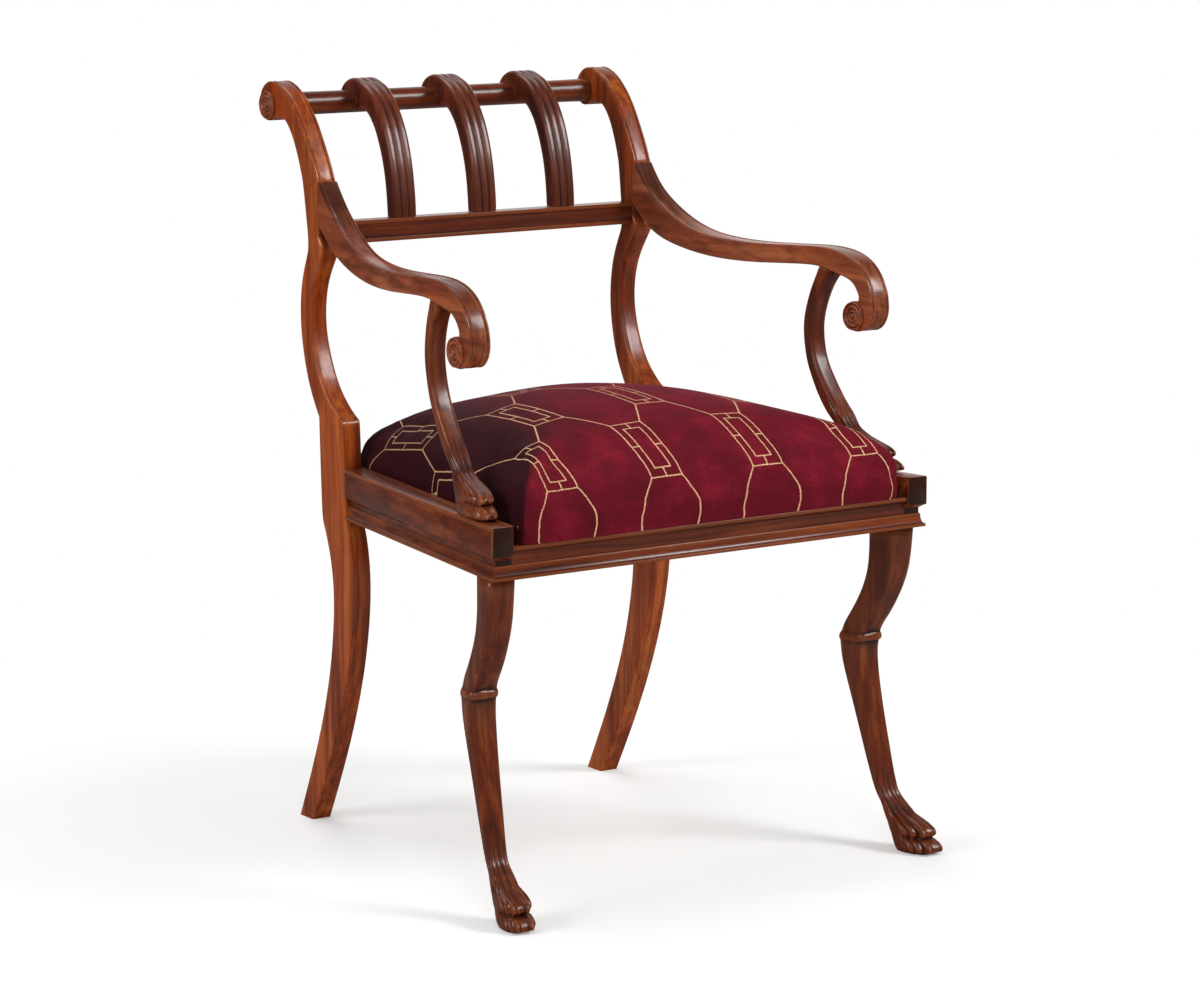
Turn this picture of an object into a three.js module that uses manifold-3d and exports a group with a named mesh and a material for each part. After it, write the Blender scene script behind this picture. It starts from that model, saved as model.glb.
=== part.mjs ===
import * as THREE from 'three';
import { mergeVertices } from 'three/addons/utils/BufferGeometryUtils.js';
import Module from 'manifold-3d';

// Klismos armchair in polished hardwood with a lift-out upholstered seat.
// Millimetres, +Z up, +Y towards the back, the floor at z = 0 and the front
// face of the seat frame at y = 0 until the whole chair is centred at the end.
// Side pieces are drawn flat, with x measured inwards from their outer face,
// then leaned or splayed into place on the right (+X) and mirrored to the left.

// Driving dimensions of the whole chair
const chairHeight = 880;
const seatHeight = 439;
const sideRailHeight = 59;
const frontRailHeight = 36;
const frontHalfWidth = 298;
const seatTaper = 67.8;
const seatRun = 418.5;
const armReach = 404;
const clearance = 0.3;
const overrun = 4;
const cornerEase = 1.6;

// Rear uprights: sabre leg, block at the seat, bowed stile and rolled crest
const uprightThickness = 25;
const uprightLean = 0.0175;
const blockDepth = 54;
const blockRise = 53;
const noseAboveArm = 1;
const sabreSweep = 93.5;
const bowSweep = 70;
const bowEdgeRadius = 6;
const crestSetBack = 149.5;
const crestRadius = 28.4;
const crestEyeRadius = 18.5;
const crestOpenRadius = 34;
const beadWidth = 3.6;
const beadDrop = 1.2;
const quirkDepth = 1.5;
const fieldDrop = 0.4;

// Arms: scarfed to the uprights, sprung outwards, ending in a scroll
const armThickness = 27;
const armScarfInset = 44;
const armSplay = 0.185;
const armFrontSplay = 0.05;
const armSplayStart = 13.5;
const armSplayEnd = 111.6;
const armSplayEase = 24;
const scrollReach = 29.6;
const scrollHang = 75;
const scrollOpenRadius = 32.2;
const scrollEyeRadius = 17.5;
const scarfTenonLength = 15;
const scarfTenonHeight = 24;

// Arm supports: C-shaped posts standing on the side rails on paws
const supportWidth = 23;
const supportSetBack = 20;
const supportHeadSetBack = 76.2;
const supportTuck = 2;
const supportDowelRadius = 5;
const supportDowelLength = 12;
const supportPawHeight = 46.7;
const supportPawLength = 96.5;
const supportPawWidth = 29.5;
const supportPawStart = 3.5;

// Front legs: thigh, hock with a ring, shank and paw
const legWidth = 33;
const legReach = 141;
const legToeOverhang = 46;
const legInset = 20;
const legPawHeight = 52;
const legPawLength = 79;
const legPawWidth = 38;
const legTenonDepth = 22;
const legTenonHeight = 24;
const legTenonSetBack = 25;

// Seat rails and their mouldings
const sideRailThickness = 27;
const frontRailThickness = 24;
const frontLipDepth = 4;
const frontLipHeight = 4;
const rearRailThickness = 22;
const rearRailInset = 14;
const panelDrop = 33;
const panelBevel = 4;
const neckDepth = 6;
const panelBorder = 4.5;
const panelGroove = 1;
const mouldingHeight = 16;
const mouldingReach = 5.4;
const mouldingFillet = 3.6;
const tenonThickness = 9;
const tenonLength = 15;
const tenonShoulder = 7;

// Back: round crest rail, back rail and three reeded splats
const crestRailRadius = 13.5;
const crestTenonRadius = 9;
const collarRadius = 14.6;
const collarWidth = 5;
const backRailAboveNose = 28;
const backRailHeight = 26;
const backRailThickness = 22;
const backRailInset = 44.5;
const backRailFillet = 4.4;
const backRailQuirk = 1.6;
const backRailCrown = 1.2;
const splatWidth = 30;
const splatOpenRadius = 35.5;
const splatHookRadius = 23;
const splatTenonLength = 14;
const splatTenonDepth = 8;
const reedDepth = 2;

// Turned rosettes on the crest scrolls and the arm scrolls
const rosetteRadius = 16.6;
const rosetteHeight = 4.8;

// Corner blocks and bearers inside the seat frame
const bearerWidth = 20;
const bearerHeight = 20;
const cornerBlockLeg = 46;
const cornerBlockTip = 10;
const cornerBlockHeight = 24;

// Lift-out seat
const seatSideGap = 5;
const seatFrontInset = 4;
const seatRearOverlap = 37.5;
const skirtThickness = 4;
const memberWidth = 46;
const memberThickness = 20;
const webWidth = 52;
const webThickness = 1.4;
const crownRise = 118;
const cushionCornerRadius = 16;

// Hand-set rows of shares. Sabre leg: height, front sweep and depth.
const sabreRowShares = [
  [1, 0, 1], [0.963, -0.059, 1.028], [0.889, -0.134, 0.944], [0.763, -0.16, 0.833],
  [0.579, -0.029, 0.754], [0.395, 0.213, 0.678], [0.197, 0.572, 0.635], [0, 1, 0.574],
];
// Bow of the stile: height, front sweep and rear sweep
const bowRowShares = [
  [0.012, 0.029, 0.776], [0.055, 0.221, 0.857], [0.149, 0.521, 1.011], [0.299, 0.793, 1.179],
  [0.537, 0.993, 1.3], [0.761, 0.893, 1.236], [0.905, 0.65, 1.076], [0.97, 0.529, 0.986],
  [1.02, 0.543, 0.976], [1.065, 0.636, 0.973],
];
// Upper stile up to the crest: front point and rear point
const stileRowShares = [
  [0.298, 0.082, 0.456, 0.082], [0.289, 0.265, 0.482, 0.265], [0.28, 0.46, 0.508, 0.441],
  [0.3, 0.536, 0.532, 0.53], [0.411, 0.725, 0.612, 0.731], [0.538, 0.921, 0.716, 0.873],
  [0.666, 1.05, 0.793, 0.908], [0.766, 1.122, 0.876, 0.908],
];
// Arm from the scarf to the scroll: top point and underside point
const armRowShares = [
  [0.993, 1, 1, 0.351], [0.962, 0.792, 0.977, 0.266], [0.925, 0.597, 0.946, 0.117],
  [0.876, 0.413, 0.9, -0.045], [0.811, 0.218, 0.836, -0.175], [0.728, 0.049, 0.747, -0.279],
  [0.629, -0.031, 0.638, -0.347], [0.504, -0.055, 0.504, -0.355], [0.38, -0.034, 0.375, -0.317],
  [0.256, -0.004, 0.251, -0.287], [0.177, -0.014, 0.187, -0.344], [0.114, -0.075, 0.135, -0.4],
  [0.063, -0.204, 0.1, -0.447], [0.024, -0.416, 0.075, -0.545], [0.005, -0.636, 0.06, -0.669],
];
// Splat from the back rail to the crest rail: front point and rear point
const splatRowShares = [
  [0.318, 0, 0.429, 0], [0.32, 0.123, 0.438, 0.123], [0.344, 0.337, 0.461, 0.337],
  [0.385, 0.548, 0.514, 0.549], [0.452, 0.758, 0.597, 0.758], [0.538, 0.93, 0.672, 0.864],
  [0.636, 1.069, 0.736, 0.931], [0.732, 1.152, 0.819, 0.942],
];
// Front leg above the paw: height, front, rear, width and squareness
const legRowShares = [
  [1, 0.428, 0.687, 0.97, 0.42], [0.9, 0.45, 0.694, 0.97, 0.42], [0.83, 0.496, 0.734, 0.97, 0.42],
  [0.77, 0.57, 0.805, 1, 0.45], [0.717, 0.655, 0.892, 1.01, 0.48], [0.68, 0.724, 0.957, 1.015, 0.5],
  [0.653, 0.76, 0.987, 1.03, 0.5], [0.645, 0.75, 1.004, 1.121, 0.55], [0.629, 0.757, 1.01, 1.121, 0.55],
  [0.621, 0.779, 0.997, 1.045, 0.5], [0.558, 0.784, 0.968, 1.03, 0.5], [0.434, 0.722, 0.855, 0.94, 0.5],
  [0.289, 0.621, 0.73, 0.833, 0.5], [0.197, 0.543, 0.649, 0.788, 0.52], [0.16, 0.49, 0.6, 0.8, 0.56],
];
// Arm support above the paw, in the same order
const supportRowShares = [
  [1, 0.639, 0.843, 1, 0.45], [0.966, 0.706, 0.874, 1, 0.45], [0.919, 0.768, 0.903, 1, 0.45],
  [0.833, 0.848, 0.955, 1, 0.48], [0.694, 0.906, 0.999, 1, 0.5], [0.543, 0.874, 0.968, 1, 0.5],
  [0.435, 0.784, 0.906, 1, 0.5], [0.327, 0.658, 0.813, 1, 0.5], [0.249, 0.55, 0.716, 1.022, 0.52],
];
// Paw: height, front, width, squareness and depth of the valleys between toes
const pawRowShares = [
  [1, 0.74, 0.74, 0.62, 0.3], [0.85, 0.6, 0.81, 0.68, 0.6], [0.71, 0.41, 0.9, 0.74, 0.9],
  [0.6, 0.24, 0.97, 0.8, 1], [0.48, 0.15, 1, 0.8, 1.1], [0.385, 0.145, 0.96, 0.8, 1],
  [0.335, 0.19, 0.93, 0.8, 0.7], [0.28, 0.1, 0.97, 0.8, 0.9], [0.175, 0.03, 1, 0.8, 1.1],
  [0.08, 0.02, 0.95, 0.8, 1], [0, 0.16, 0.8, 0.8, 0.7],
];
// Cushion: height, inset of the sides and the back, inset of the front
const cushionRowShares = [
  [0, 0, 0], [0.12, -0.003, -0.022], [0.27, -0.004, -0.034], [0.4, 0, -0.03], [0.5, 0.016, -0.008],
  [0.585, 0.046, 0.03], [0.665, 0.1, 0.09], [0.75, 0.19, 0.185], [0.83, 0.305, 0.3], [0.9, 0.445, 0.445],
  [0.955, 0.6, 0.6], [0.987, 0.78, 0.78], [1, 0.93, 0.93],
];
// Rosette: height and radius
const rosetteRowShares = [
  [0, 1], [0.5, 1], [0.6, 0.84], [0.3, 0.7], [0.78, 0.56], [0.42, 0.36], [1, 0.22], [1, 0.08],
];
const armHeightShare = 0.5737;
const armRiseShare = 0.1746;
const supportHeadShare = 0.279;
const faceEdgeShares = [0, 0.3, 0.65, 1, 1.4];
const reedShares = [0, 0.25, 0.75];
const reedDropShares = [1, 0.2, 0.2];
const toePinchShare = 0.12;
const scrollHeartShare = 0.4;
const scrollOpenShare = 0.35;
const legHeelTuckShare = 0.28;
const supportHeelTuckShare = 0.115;
const backTenonShare = 0.62;
const scarfTenonShare = 0.7;
const headDowelShare = 0.74;
const splatTenonShare = 0.3;
const panelSagShare = 0.25;
const webFlatShare = 0.55;
const webLandingShare = 0.6;
const coveShares = [0.1, 0.35, 0.6, 0.85, 1];
const coveReachShares = [0.2, 0.6];
const crownShares = [1, 0.75, 0.5, 0.25, 0];
const quarterShares = [0, 0.25, 0.5, 0.75, 1];
const sideLineShares = [0.16, 0.33, 0.5, 0.67, 0.84];
const crossLineShares = [0.78, 0.5, 0.2];
const rearDropShare = 0.05;
const domeShare = 2;
const toeCount = 4;
const reedCount = 3;
const columnPoints = 24;
const turnedPoints = 18;
const sabreRows = 9;
const bowRows = 14;
const stileRows = 10;
const armRows = 22;
const splatRows = 10;
const legRows = 14;
const supportRows = 12;
const crestTurns = 8;
const armTurns = 10;
// Hand-set rows at the front of the arm that may meet the support below
const supportedArmRows = 9;
const splatTurns = 8;

const wasm = await Module();
wasm.setup();

// Places worked out from the driving dimensions
const rearHalfWidth = frontHalfWidth - seatTaper;
const splay = seatTaper / seatRun;
const railUnderside = seatHeight - sideRailHeight;
const frontRailTop = railUnderside + frontRailHeight;
const blockTop = seatHeight + blockRise;
const backRise = chairHeight - seatHeight;
const armHeight = seatHeight + backRise * armHeightShare;
const noseHeight = armHeight + noseAboveArm;
const backRailTop = noseHeight + backRailAboveNose;
const crestY = seatRun + crestSetBack;
const crestZ = chairHeight - crestRadius;
const armRise = backRise * armRiseShare;
const armScarfY = seatRun + armScarfInset;
const armFrontY = armScarfY - armReach;
const supportHeight = armHeight - seatHeight - armRise * supportHeadShare;
const supportReach = (armFrontY + supportHeadSetBack - supportSetBack) / headDowelShare;
const rearRailBack = seatRun + blockDepth - rearRailInset;
const rearRailFront = rearRailBack - rearRailThickness;
const seatBase = frontRailTop + clearance;
const memberTop = seatBase + memberThickness;
const seatFront = seatFrontInset;
const seatBack = seatRun + seatRearOverlap;
const bearerStart = neckDepth + frontRailThickness + clearance;
const bearerEnd = rearRailFront - clearance;

// Where the outer faces of the sides run
const uprightOuter = (z) => rearHalfWidth + uprightLean * (z - seatHeight);
const railOuter = (y) => frontHalfWidth - splay * y;
const uprightInner = (y, z) => uprightOuter(z) - uprightThickness;
const railInner = (y) => railOuter(y) - sideRailThickness;
const easedRamp = (run, ease) => (run + Math.hypot(run, ease)) / 2;

function armOuter(y, z) {
  const start = easedRamp(seatRun + armSplayStart - y, armSplayEase);
  const end = easedRamp(armFrontY + armSplayEnd - y, armSplayEase);
  return uprightOuter(z) + armSplay * start - (armSplay - armFrontSplay) * end;
}

// Equal gaps between the splats and the uprights
const splatSpacing = (uprightInner(crestY, backRailTop) + splatWidth / 2) / 2;

// Places that carry a flat piece to its side of the chair
const onUpright = (x, y, z) => [uprightOuter(z) + x, y, z];
const onArm = (x, y, z) => [armOuter(y, z) + x, y, z];
const onRail = (x, y, z) => [railOuter(y) + x, y, z];

function onSupport(x, y, z) {
  const share = (z - seatHeight) / supportHeight;
  const foot = railOuter(y) - sideRailThickness / 2;
  const head = armOuter(y, z) - armThickness / 2 - supportTuck;
  return [foot + (head - foot) * share + x, y, z];
}

// Closed geometry from points and triangles, turned outside out if need be
function closedGeometry(points, triangles) {
  let volume = 0;
  for (let i = 0; i < triangles.length; i += 3) {
    const [a, b, c] = [0, 1, 2].map((corner) => new THREE.Vector3(...points[triangles[i + corner]]));
    volume += a.dot(b.cross(c));
  }
  const geometry = new THREE.BufferGeometry();
  geometry.setAttribute('position', new THREE.Float32BufferAttribute(points.flat(), 3));
  geometry.setIndex(volume < 0 ? triangles.toReversed() : triangles);
  return geometry;
}

// Flat cap over a ring, each end turned to face away from the other
function capTriangles(ring, offset, flip) {
  const centre = new THREE.Vector3();
  const corners = ring.map((point) => new THREE.Vector3(...point));
  const normal = new THREE.Vector3();
  corners.forEach((corner, i) => {
    normal.add(corner.clone().cross(corners[(i + 1) % corners.length]));
    centre.add(corner);
  });
  const across = corners[0].clone().sub(centre.divideScalar(corners.length));
  across.projectOnPlane(normal.normalize()).normalize();
  const along = normal.clone().cross(across);
  const flat = corners.map((corner) => new THREE.Vector2(corner.dot(across), corner.dot(along)));
  const faces = THREE.ShapeUtils.triangulateShape(flat, []);
  return faces.flatMap(([a, b, c]) => (flip ? [c, b, a] : [a, b, c]).map((i) => i + offset));
}

// Skin over a run of rings with equal numbers of points, capped at both ends
function loft(rings) {
  const count = rings[0].length;
  const triangles = capTriangles(rings[0], 0, true);
  for (let ring = 0; ring < rings.length - 1; ring++) {
    for (let i = 0; i < count; i++) {
      const near = ring * count + i;
      const next = ring * count + (i + 1) % count;
      triangles.push(near, next, near + count, next, next + count, near + count);
    }
  }
  triangles.push(...capTriangles(rings.at(-1), (rings.length - 1) * count, false));
  return closedGeometry(rings.flat(), triangles);
}

// Moves every point of a geometry to its place
function placed(geometry, place) {
  const moved = geometry.clone();
  const position = moved.getAttribute('position');
  for (let i = 0; i < position.count; i++) {
    position.setXYZ(i, ...place(position.getX(i), position.getY(i), position.getZ(i)));
  }
  return moved;
}

// The same piece on the other side of the chair
function mirrored(geometry) {
  const twin = placed(geometry, (x, y, z) => [-x, y, z]);
  twin.setIndex(Array.from(twin.getIndex().array).toReversed());
  return twin;
}

function toSolid(geometry) {
  const bare = new THREE.BufferGeometry();
  bare.setAttribute('position', geometry.getAttribute('position'));
  bare.setIndex(geometry.getIndex());
  const merged = mergeVertices(bare);
  const vertProperties = Float32Array.from(merged.getAttribute('position').array);
  const triVerts = Uint32Array.from(merged.getIndex().array);
  return new wasm.Manifold(new wasm.Mesh({ numProp: 3, vertProperties, triVerts }));
}

function toGeometry(solid) {
  const mesh = solid.getMesh();
  const geometry = new THREE.BufferGeometry();
  const corners = Float32Array.from(mesh.vertProperties);
  geometry.setAttribute('position', new THREE.BufferAttribute(corners, 3));
  geometry.setIndex(Array.from(mesh.triVerts));
  return geometry;
}

function join(...geometries) {
  return toGeometry(geometries.map(toSolid).reduce((whole, more) => whole.add(more)));
}

function cut(geometry, ...tools) {
  const removed = tools.map(toSolid);
  return toGeometry(removed.reduce((whole, tool) => whole.subtract(tool), toSolid(geometry)));
}

function box(fromX, toX, fromY, toY, fromZ, toZ) {
  const geometry = new THREE.BoxGeometry(toX - fromX, toY - fromY, toZ - fromZ);
  return geometry.translate((fromX + toX) / 2, (fromY + toY) / 2, (fromZ + toZ) / 2);
}

// A piece running from side to side, each corner of its section ending at its own reach
function crossPiece(section, reach) {
  const end = (side) => section.map(([y, z]) => [side * reach(y, z), y, z]);
  return loft([end(1), end(-1)]);
}

// A piece running from front to back with a section of x and z
function longPiece(section, front, back) {
  return loft([section.map(([x, z]) => [x, front(x), z]), section.map(([x, z]) => [x, back, z])]);
}

// A turned piece along x from rows of length and radius
function turned(rows, centreY, centreZ) {
  return loft(rows.map(([x, radius]) => Array.from({ length: turnedPoints }, (_, i) => {
    const angle = (2 * Math.PI * i) / turnedPoints;
    return [x, centreY + radius * Math.cos(angle), centreZ + radius * Math.sin(angle)];
  })));
}

// A count of smooth rows through the hand-set rows, column by column
function smoothRows(rows, count) {
  const columns = rows[0].map((_, column) => (
    new THREE.SplineCurve(rows.map((row, i) => new THREE.Vector2(i, row[column])))));
  const steps = Array.from({ length: count + 1 }, (_, i) => i / count);
  return steps.map((step) => columns.map((column) => column.getPoint(step).y));
}

// Drops of the front face at its edge lines, ending with the middle of the face
function roundedDrops(radius) {
  const drop = (edge) => radius - Math.sqrt(radius ** 2 - Math.max(0, radius - edge) ** 2);
  return [...faceEdgeShares.map((share) => drop(share * beadWidth)), 0];
}
const mouldedDrops = [beadDrop, 0, 0, quirkDepth, fieldDrop, 0];

// Ring around a band at one station, from its moulded front to its eased rear
function bandRing({ front, rear, drops }, thickness) {
  const along = rear.clone().sub(front).normalize();
  const edges = [...faceEdgeShares.map((share) => share * beadWidth), thickness / 2];
  const faces = edges.map((edge, i) => [edge, drops[i]]);
  const mirroredFaces = faces.slice(0, -1).reverse().map(([edge, drop]) => [thickness - edge, drop]);
  const at = (start, drop, x) => [-x, start.x + along.x * drop, start.y + along.y * drop];
  return [
    ...[...faces, ...mirroredFaces].map(([x, drop]) => at(front, drop, x)),
    at(rear, -cornerEase, thickness), at(rear, 0, thickness - cornerEase),
    at(rear, 0, cornerEase), at(rear, -cornerEase, 0),
  ];
}

function station(frontY, frontZ, rearY, rearZ, drops) {
  return { front: new THREE.Vector2(frontY, frontZ), rear: new THREE.Vector2(rearY, rearZ), drops };
}

// Stations of a scroll that closes in on its eye as it turns
function scrollStations(scroll, count, drops) {
  const turn = THREE.MathUtils.degToRad;
  return Array.from({ length: count + 1 }, (_, i) => {
    const share = i / count;
    const open = (1 - share) ** scroll.curl;
    const angle = turn(scroll.from + (scroll.to - scroll.from) * share);
    const radius = scroll.closed + (scroll.open - scroll.closed) * open;
    const inner = scroll.eye * (scrollHeartShare + scrollOpenShare * open);
    const innerAngle = angle + turn(scroll.lag) * open;
    return station(
      scroll.y + radius * Math.cos(angle), scroll.z + radius * Math.sin(angle),
      scroll.y + inner * Math.cos(innerAngle), scroll.z + inner * Math.sin(innerAngle), drops);
  });
}

const crestScroll = {
  y: crestY, z: crestZ, open: crestOpenRadius, closed: crestEyeRadius, eye: crestEyeRadius,
  from: 132.6, to: -72, lag: 88, curl: 2,
};
const armScroll = {
  y: armFrontY + scrollReach, z: armHeight - scrollHang, open: scrollOpenRadius,
  closed: scrollEyeRadius, eye: scrollEyeRadius, from: 157.3, to: 272, lag: -45, curl: 1.5,
};
const splatScroll = {
  y: crestY, z: crestZ, open: splatOpenRadius, closed: splatHookRadius, eye: crestRailRadius,
  from: 133.4, to: -22, lag: 82, curl: 3,
};

// Rear upright, flat
function sabreStations() {
  return smoothRows(sabreRowShares, sabreRows).map(([height, sweep, depth]) => {
    const y = seatRun + sabreSweep * sweep;
    const z = railUnderside * height;
    return station(y, z, y + blockDepth * depth, z, roundedDrops(cornerEase));
  }).reverse();
}

function bowStations() {
  const rows = smoothRows(bowRowShares, bowRows);
  return rows.map(([height, front, rear], i) => {
    const z = blockTop + (noseHeight - blockTop) * height;
    const swell = Math.sin((Math.PI * i) / (rows.length - 1));
    const radius = cornerEase + (bowEdgeRadius - cornerEase) * swell;
    return station(seatRun + bowSweep * front, z, seatRun + bowSweep * rear, z, roundedDrops(radius));
  });
}

function stileStations() {
  const rise = crestZ - noseHeight;
  return smoothRows(stileRowShares, stileRows).map(([frontY, frontZ, rearY, rearZ]) => station(
    seatRun + crestSetBack * frontY, noseHeight + rise * frontZ,
    seatRun + crestSetBack * rearY, noseHeight + rise * rearZ, mouldedDrops));
}

function uprightBlank() {
  const plain = roundedDrops(cornerEase);
  const blockBack = seatRun + blockDepth;
  const stations = [
    ...sabreStations(),
    station(seatRun, blockTop - cornerEase, blockBack, blockTop - cornerEase, plain),
    ...bowStations(), ...stileStations().slice(1),
    ...scrollStations(crestScroll, crestTurns, mouldedDrops),
  ];
  const band = loft(stations.map((each) => bandRing(each, uprightThickness)));
  const eye = turned([[0, crestEyeRadius], [-uprightThickness, crestEyeRadius]], crestY, crestZ);
  return placed(join(band, eye), onUpright);
}

// Tenon bars that run through their rail into the pieces at both ends
function tenonBar(centreY, halfDepth, fromZ, toZ, reach, grow) {
  const section = [
    [centreY - halfDepth - grow, fromZ - grow], [centreY + halfDepth + grow, fromZ - grow],
    [centreY + halfDepth + grow, toZ + grow], [centreY - halfDepth - grow, toZ + grow],
  ];
  return crossPiece(section, (y, z) => reach(y, z) + tenonLength + grow);
}

function frontRailTenon(grow) {
  const centre = neckDepth + frontRailThickness / 2;
  const top = frontRailTop - tenonShoulder;
  return tenonBar(centre, tenonThickness / 2, railUnderside + tenonShoulder, top, railInner, grow);
}

function rearRailTenon(grow) {
  const centre = (rearRailFront + rearRailBack) / 2;
  const top = frontRailTop - tenonShoulder;
  return tenonBar(centre, tenonThickness / 2, railUnderside + tenonShoulder, top, uprightInner, grow);
}

function backRailTenon(grow) {
  const centre = seatRun + backRailInset + backRailThickness / 2;
  const middle = backRailTop - backRailHeight / 2;
  const halfHeight = backRailHeight * backTenonShare / 2;
  const [low, high] = [middle - halfHeight, middle + halfHeight];
  return tenonBar(centre, tenonThickness / 2, low, high, uprightInner, grow);
}

function sideRailTenon(grow) {
  const middle = -sideRailThickness / 2;
  const half = tenonThickness / 2 + grow;
  const low = railUnderside + tenonShoulder - grow;
  const high = seatHeight - tenonShoulder + grow;
  const [start, end] = [seatRun - overrun, seatRun + tenonLength + grow];
  return placed(box(middle - half, middle + half, start, end, low, high), onRail);
}

function scarfTenon(grow) {
  const middle = armHeight + armRise * scarfTenonShare;
  const half = tenonThickness / 2 + grow;
  const tall = scarfTenonHeight / 2 + grow;
  const back = armScarfY + scarfTenonLength + grow;
  const centre = -armThickness / 2;
  const front = armScarfY - 2 * overrun;
  const [low, high] = [middle - tall, middle + tall];
  return placed(box(centre - half, centre + half, front, back, low, high), onUpright);
}

function crestRailBar(grow) {
  const inner = uprightInner(crestY, crestZ);
  const collarEnd = inner - 2 * clearance;
  const tenonEnd = inner + tenonLength + grow;
  const collarStart = collarEnd - collarWidth;
  const rows = [
    [tenonEnd, crestTenonRadius + grow], [collarEnd, crestTenonRadius + grow],
    [collarEnd, collarRadius - cornerEase / 2 + grow],
    [collarEnd - cornerEase / 2, collarRadius + grow],
    [collarStart, collarRadius + grow], [collarStart - cornerEase, crestRailRadius + grow],
  ];
  const otherEnd = rows.map(([x, radius]) => [-x, radius]).reverse();
  return turned([...rows, ...otherEnd], crestY, crestZ);
}

function crestMortise() {
  const reach = uprightInner(crestY, crestZ) + tenonLength + clearance;
  const radius = crestTenonRadius + clearance;
  return turned([[reach, radius], [reach - tenonLength - overrun, radius]], crestY, crestZ);
}

function rearUpright() {
  return cut(
    uprightBlank(), crestMortise(), rearRailTenon(clearance), backRailTenon(clearance),
    sideRailTenon(clearance), scarfTenon(clearance));
}

// Arm, its rear end cut to the straight front of the stile
function armBlank() {
  const stations = smoothRows(armRowShares, armRows).map(([topY, topZ, underY, underZ]) => station(
    armFrontY + armReach * topY, armHeight + armRise * topZ,
    armFrontY + armReach * underY, armHeight + armRise * underZ, mouldedDrops));
  const [top, under] = [stations[0].front, stations[0].rear];
  const heel = station(top.x + overrun, top.y, under.x + overrun, under.y, mouldedDrops);
  const rings = [heel, ...stations, ...scrollStations(armScroll, armTurns, mouldedDrops)];
  const band = loft(rings.map((each) => bandRing(each, armThickness)));
  const eyeRows = [[0, scrollEyeRadius], [-armThickness, scrollEyeRadius]];
  const eye = turned(eyeRows, armScroll.y, armScroll.z);
  return placed(join(band, eye), onArm);
}

function stileCutter() {
  const fronts = stileStations().map(({ front }) => [front.x - clearance, front.y]);
  const back = seatRun + crestSetBack;
  const outline = [...fronts, [back, fronts.at(-1)[1]], [back, fronts[0][1]]];
  const [outer, inner] = [overrun, -armThickness - overrun];
  return placed(loft([outer, inner].map((x) => outline.map(([y, z]) => [x, y, z]))), onUpright);
}

function arm() {
  return cut(join(cut(armBlank(), stileCutter()), scarfTenon(0)), supportDowel(clearance));
}

// Upright column with a rounded section that may part into toes at the front
function columnRing({ z, front, rear, width, square, toes }) {
  const middle = (front + rear) / 2;
  return Array.from({ length: columnPoints }, (_, i) => {
    const angle = (2 * Math.PI * i) / columnPoints;
    const [c, s] = [Math.cos(angle), Math.sin(angle)];
    const valley = s < 0 ? 1 - Math.abs(Math.sin(toeCount * angle)) : 0;
    const pinch = 1 - toePinchShare * toes * valley;
    const x = (width / 2) * Math.sign(c) * Math.abs(c) ** square;
    const y = ((rear - front) / 2) * Math.sign(s) * Math.abs(s) ** square;
    return [x * pinch, middle + y * pinch, z];
  });
}

function columnRows(rows, count, start, reach, height, width, base) {
  return smoothRows(rows, count).map(([up, front, rear, across, square]) => ({
    z: base + height * up, front: start + reach * front, rear: start + reach * rear,
    width: width * across, square, toes: 0,
  }));
}

function pawRows(start, length, height, width, tuck, base) {
  return pawRowShares.map(([up, front, across, square, toes]) => ({
    z: base + height * up, front: start + length * front, rear: start + length * (1 - tuck * (1 - up)),
    width: width * across, square, toes,
  }));
}

function legTenon(grow) {
  const middle = -sideRailThickness / 2;
  const half = tenonThickness / 2 + grow;
  const back = legTenonSetBack + legTenonDepth + grow;
  const top = railUnderside + legTenonHeight + grow;
  const [inner, outer] = [middle - half, middle + half];
  const front = legTenonSetBack - grow;
  return placed(box(inner, outer, front, back, railUnderside - overrun, top), onRail);
}

function frontLeg() {
  const legTop = railUnderside - clearance;
  const shank = columnRows(legRowShares, legRows, -legToeOverhang, legReach, legTop, legWidth, 0);
  const paw = pawRows(-legToeOverhang, legPawLength, legPawHeight, legPawWidth, legHeelTuckShare, 0);
  const column = loft([...shank, ...paw].map(columnRing));
  return join(placed(column, (x, y, z) => onRail(x - legInset, y, z)), legTenon(0));
}

// Dowels at the head and the foot of the arm support
function supportDowel(grow) {
  const headY = supportSetBack + supportReach * headDowelShare;
  const footY = supportPawStart + supportSetBack + supportPawLength / 2;
  const headZ = seatHeight + supportHeight;
  const ends = [[headY, headZ], [footY, seatHeight]];
  const radius = supportDowelRadius + grow;
  const length = supportDowelLength + grow;
  const pins = ends.map(([y, z]) => {
    const pin = turned([[-length, radius], [length, radius]], 0, 0);
    return placed(pin, (x, v, w) => {
      const [centreX] = onSupport(0, y, z);
      return [centreX - w, y + v, z + x];
    });
  });
  return join(...pins);
}

function armSupport() {
  const foot = seatHeight + clearance;
  const height = supportHeight + overrun;
  const post = columnRows(
    supportRowShares, supportRows, supportSetBack, supportReach, height, supportWidth, foot);
  const start = supportSetBack + supportPawStart;
  const paw = pawRows(
    start, supportPawLength, supportPawHeight, supportPawWidth, supportHeelTuckShare, foot);
  const column = placed(loft([...post, ...paw].map(columnRing)), onSupport);
  return join(cut(column, armUnderside()), supportDowel(0));
}

// What the support has to leave for the arm above it
function armUnderside() {
  const rows = armRowShares.slice(-supportedArmRows, -1);
  const under = (z) => armHeight + armRise * z - clearance;
  const unders = rows.map(([, , y, z]) => [armFrontY + armReach * y, under(z)]);
  const top = armHeight + armRise;
  const outline = [...unders, [unders.at(-1)[0], top], [unders[0][0], top]];
  const [outer, inner] = [supportWidth, -armThickness - supportWidth];
  return placed(loft([outer, inner].map((x) => outline.map(([y, z]) => [x, y, z]))), onArm);
}

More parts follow.
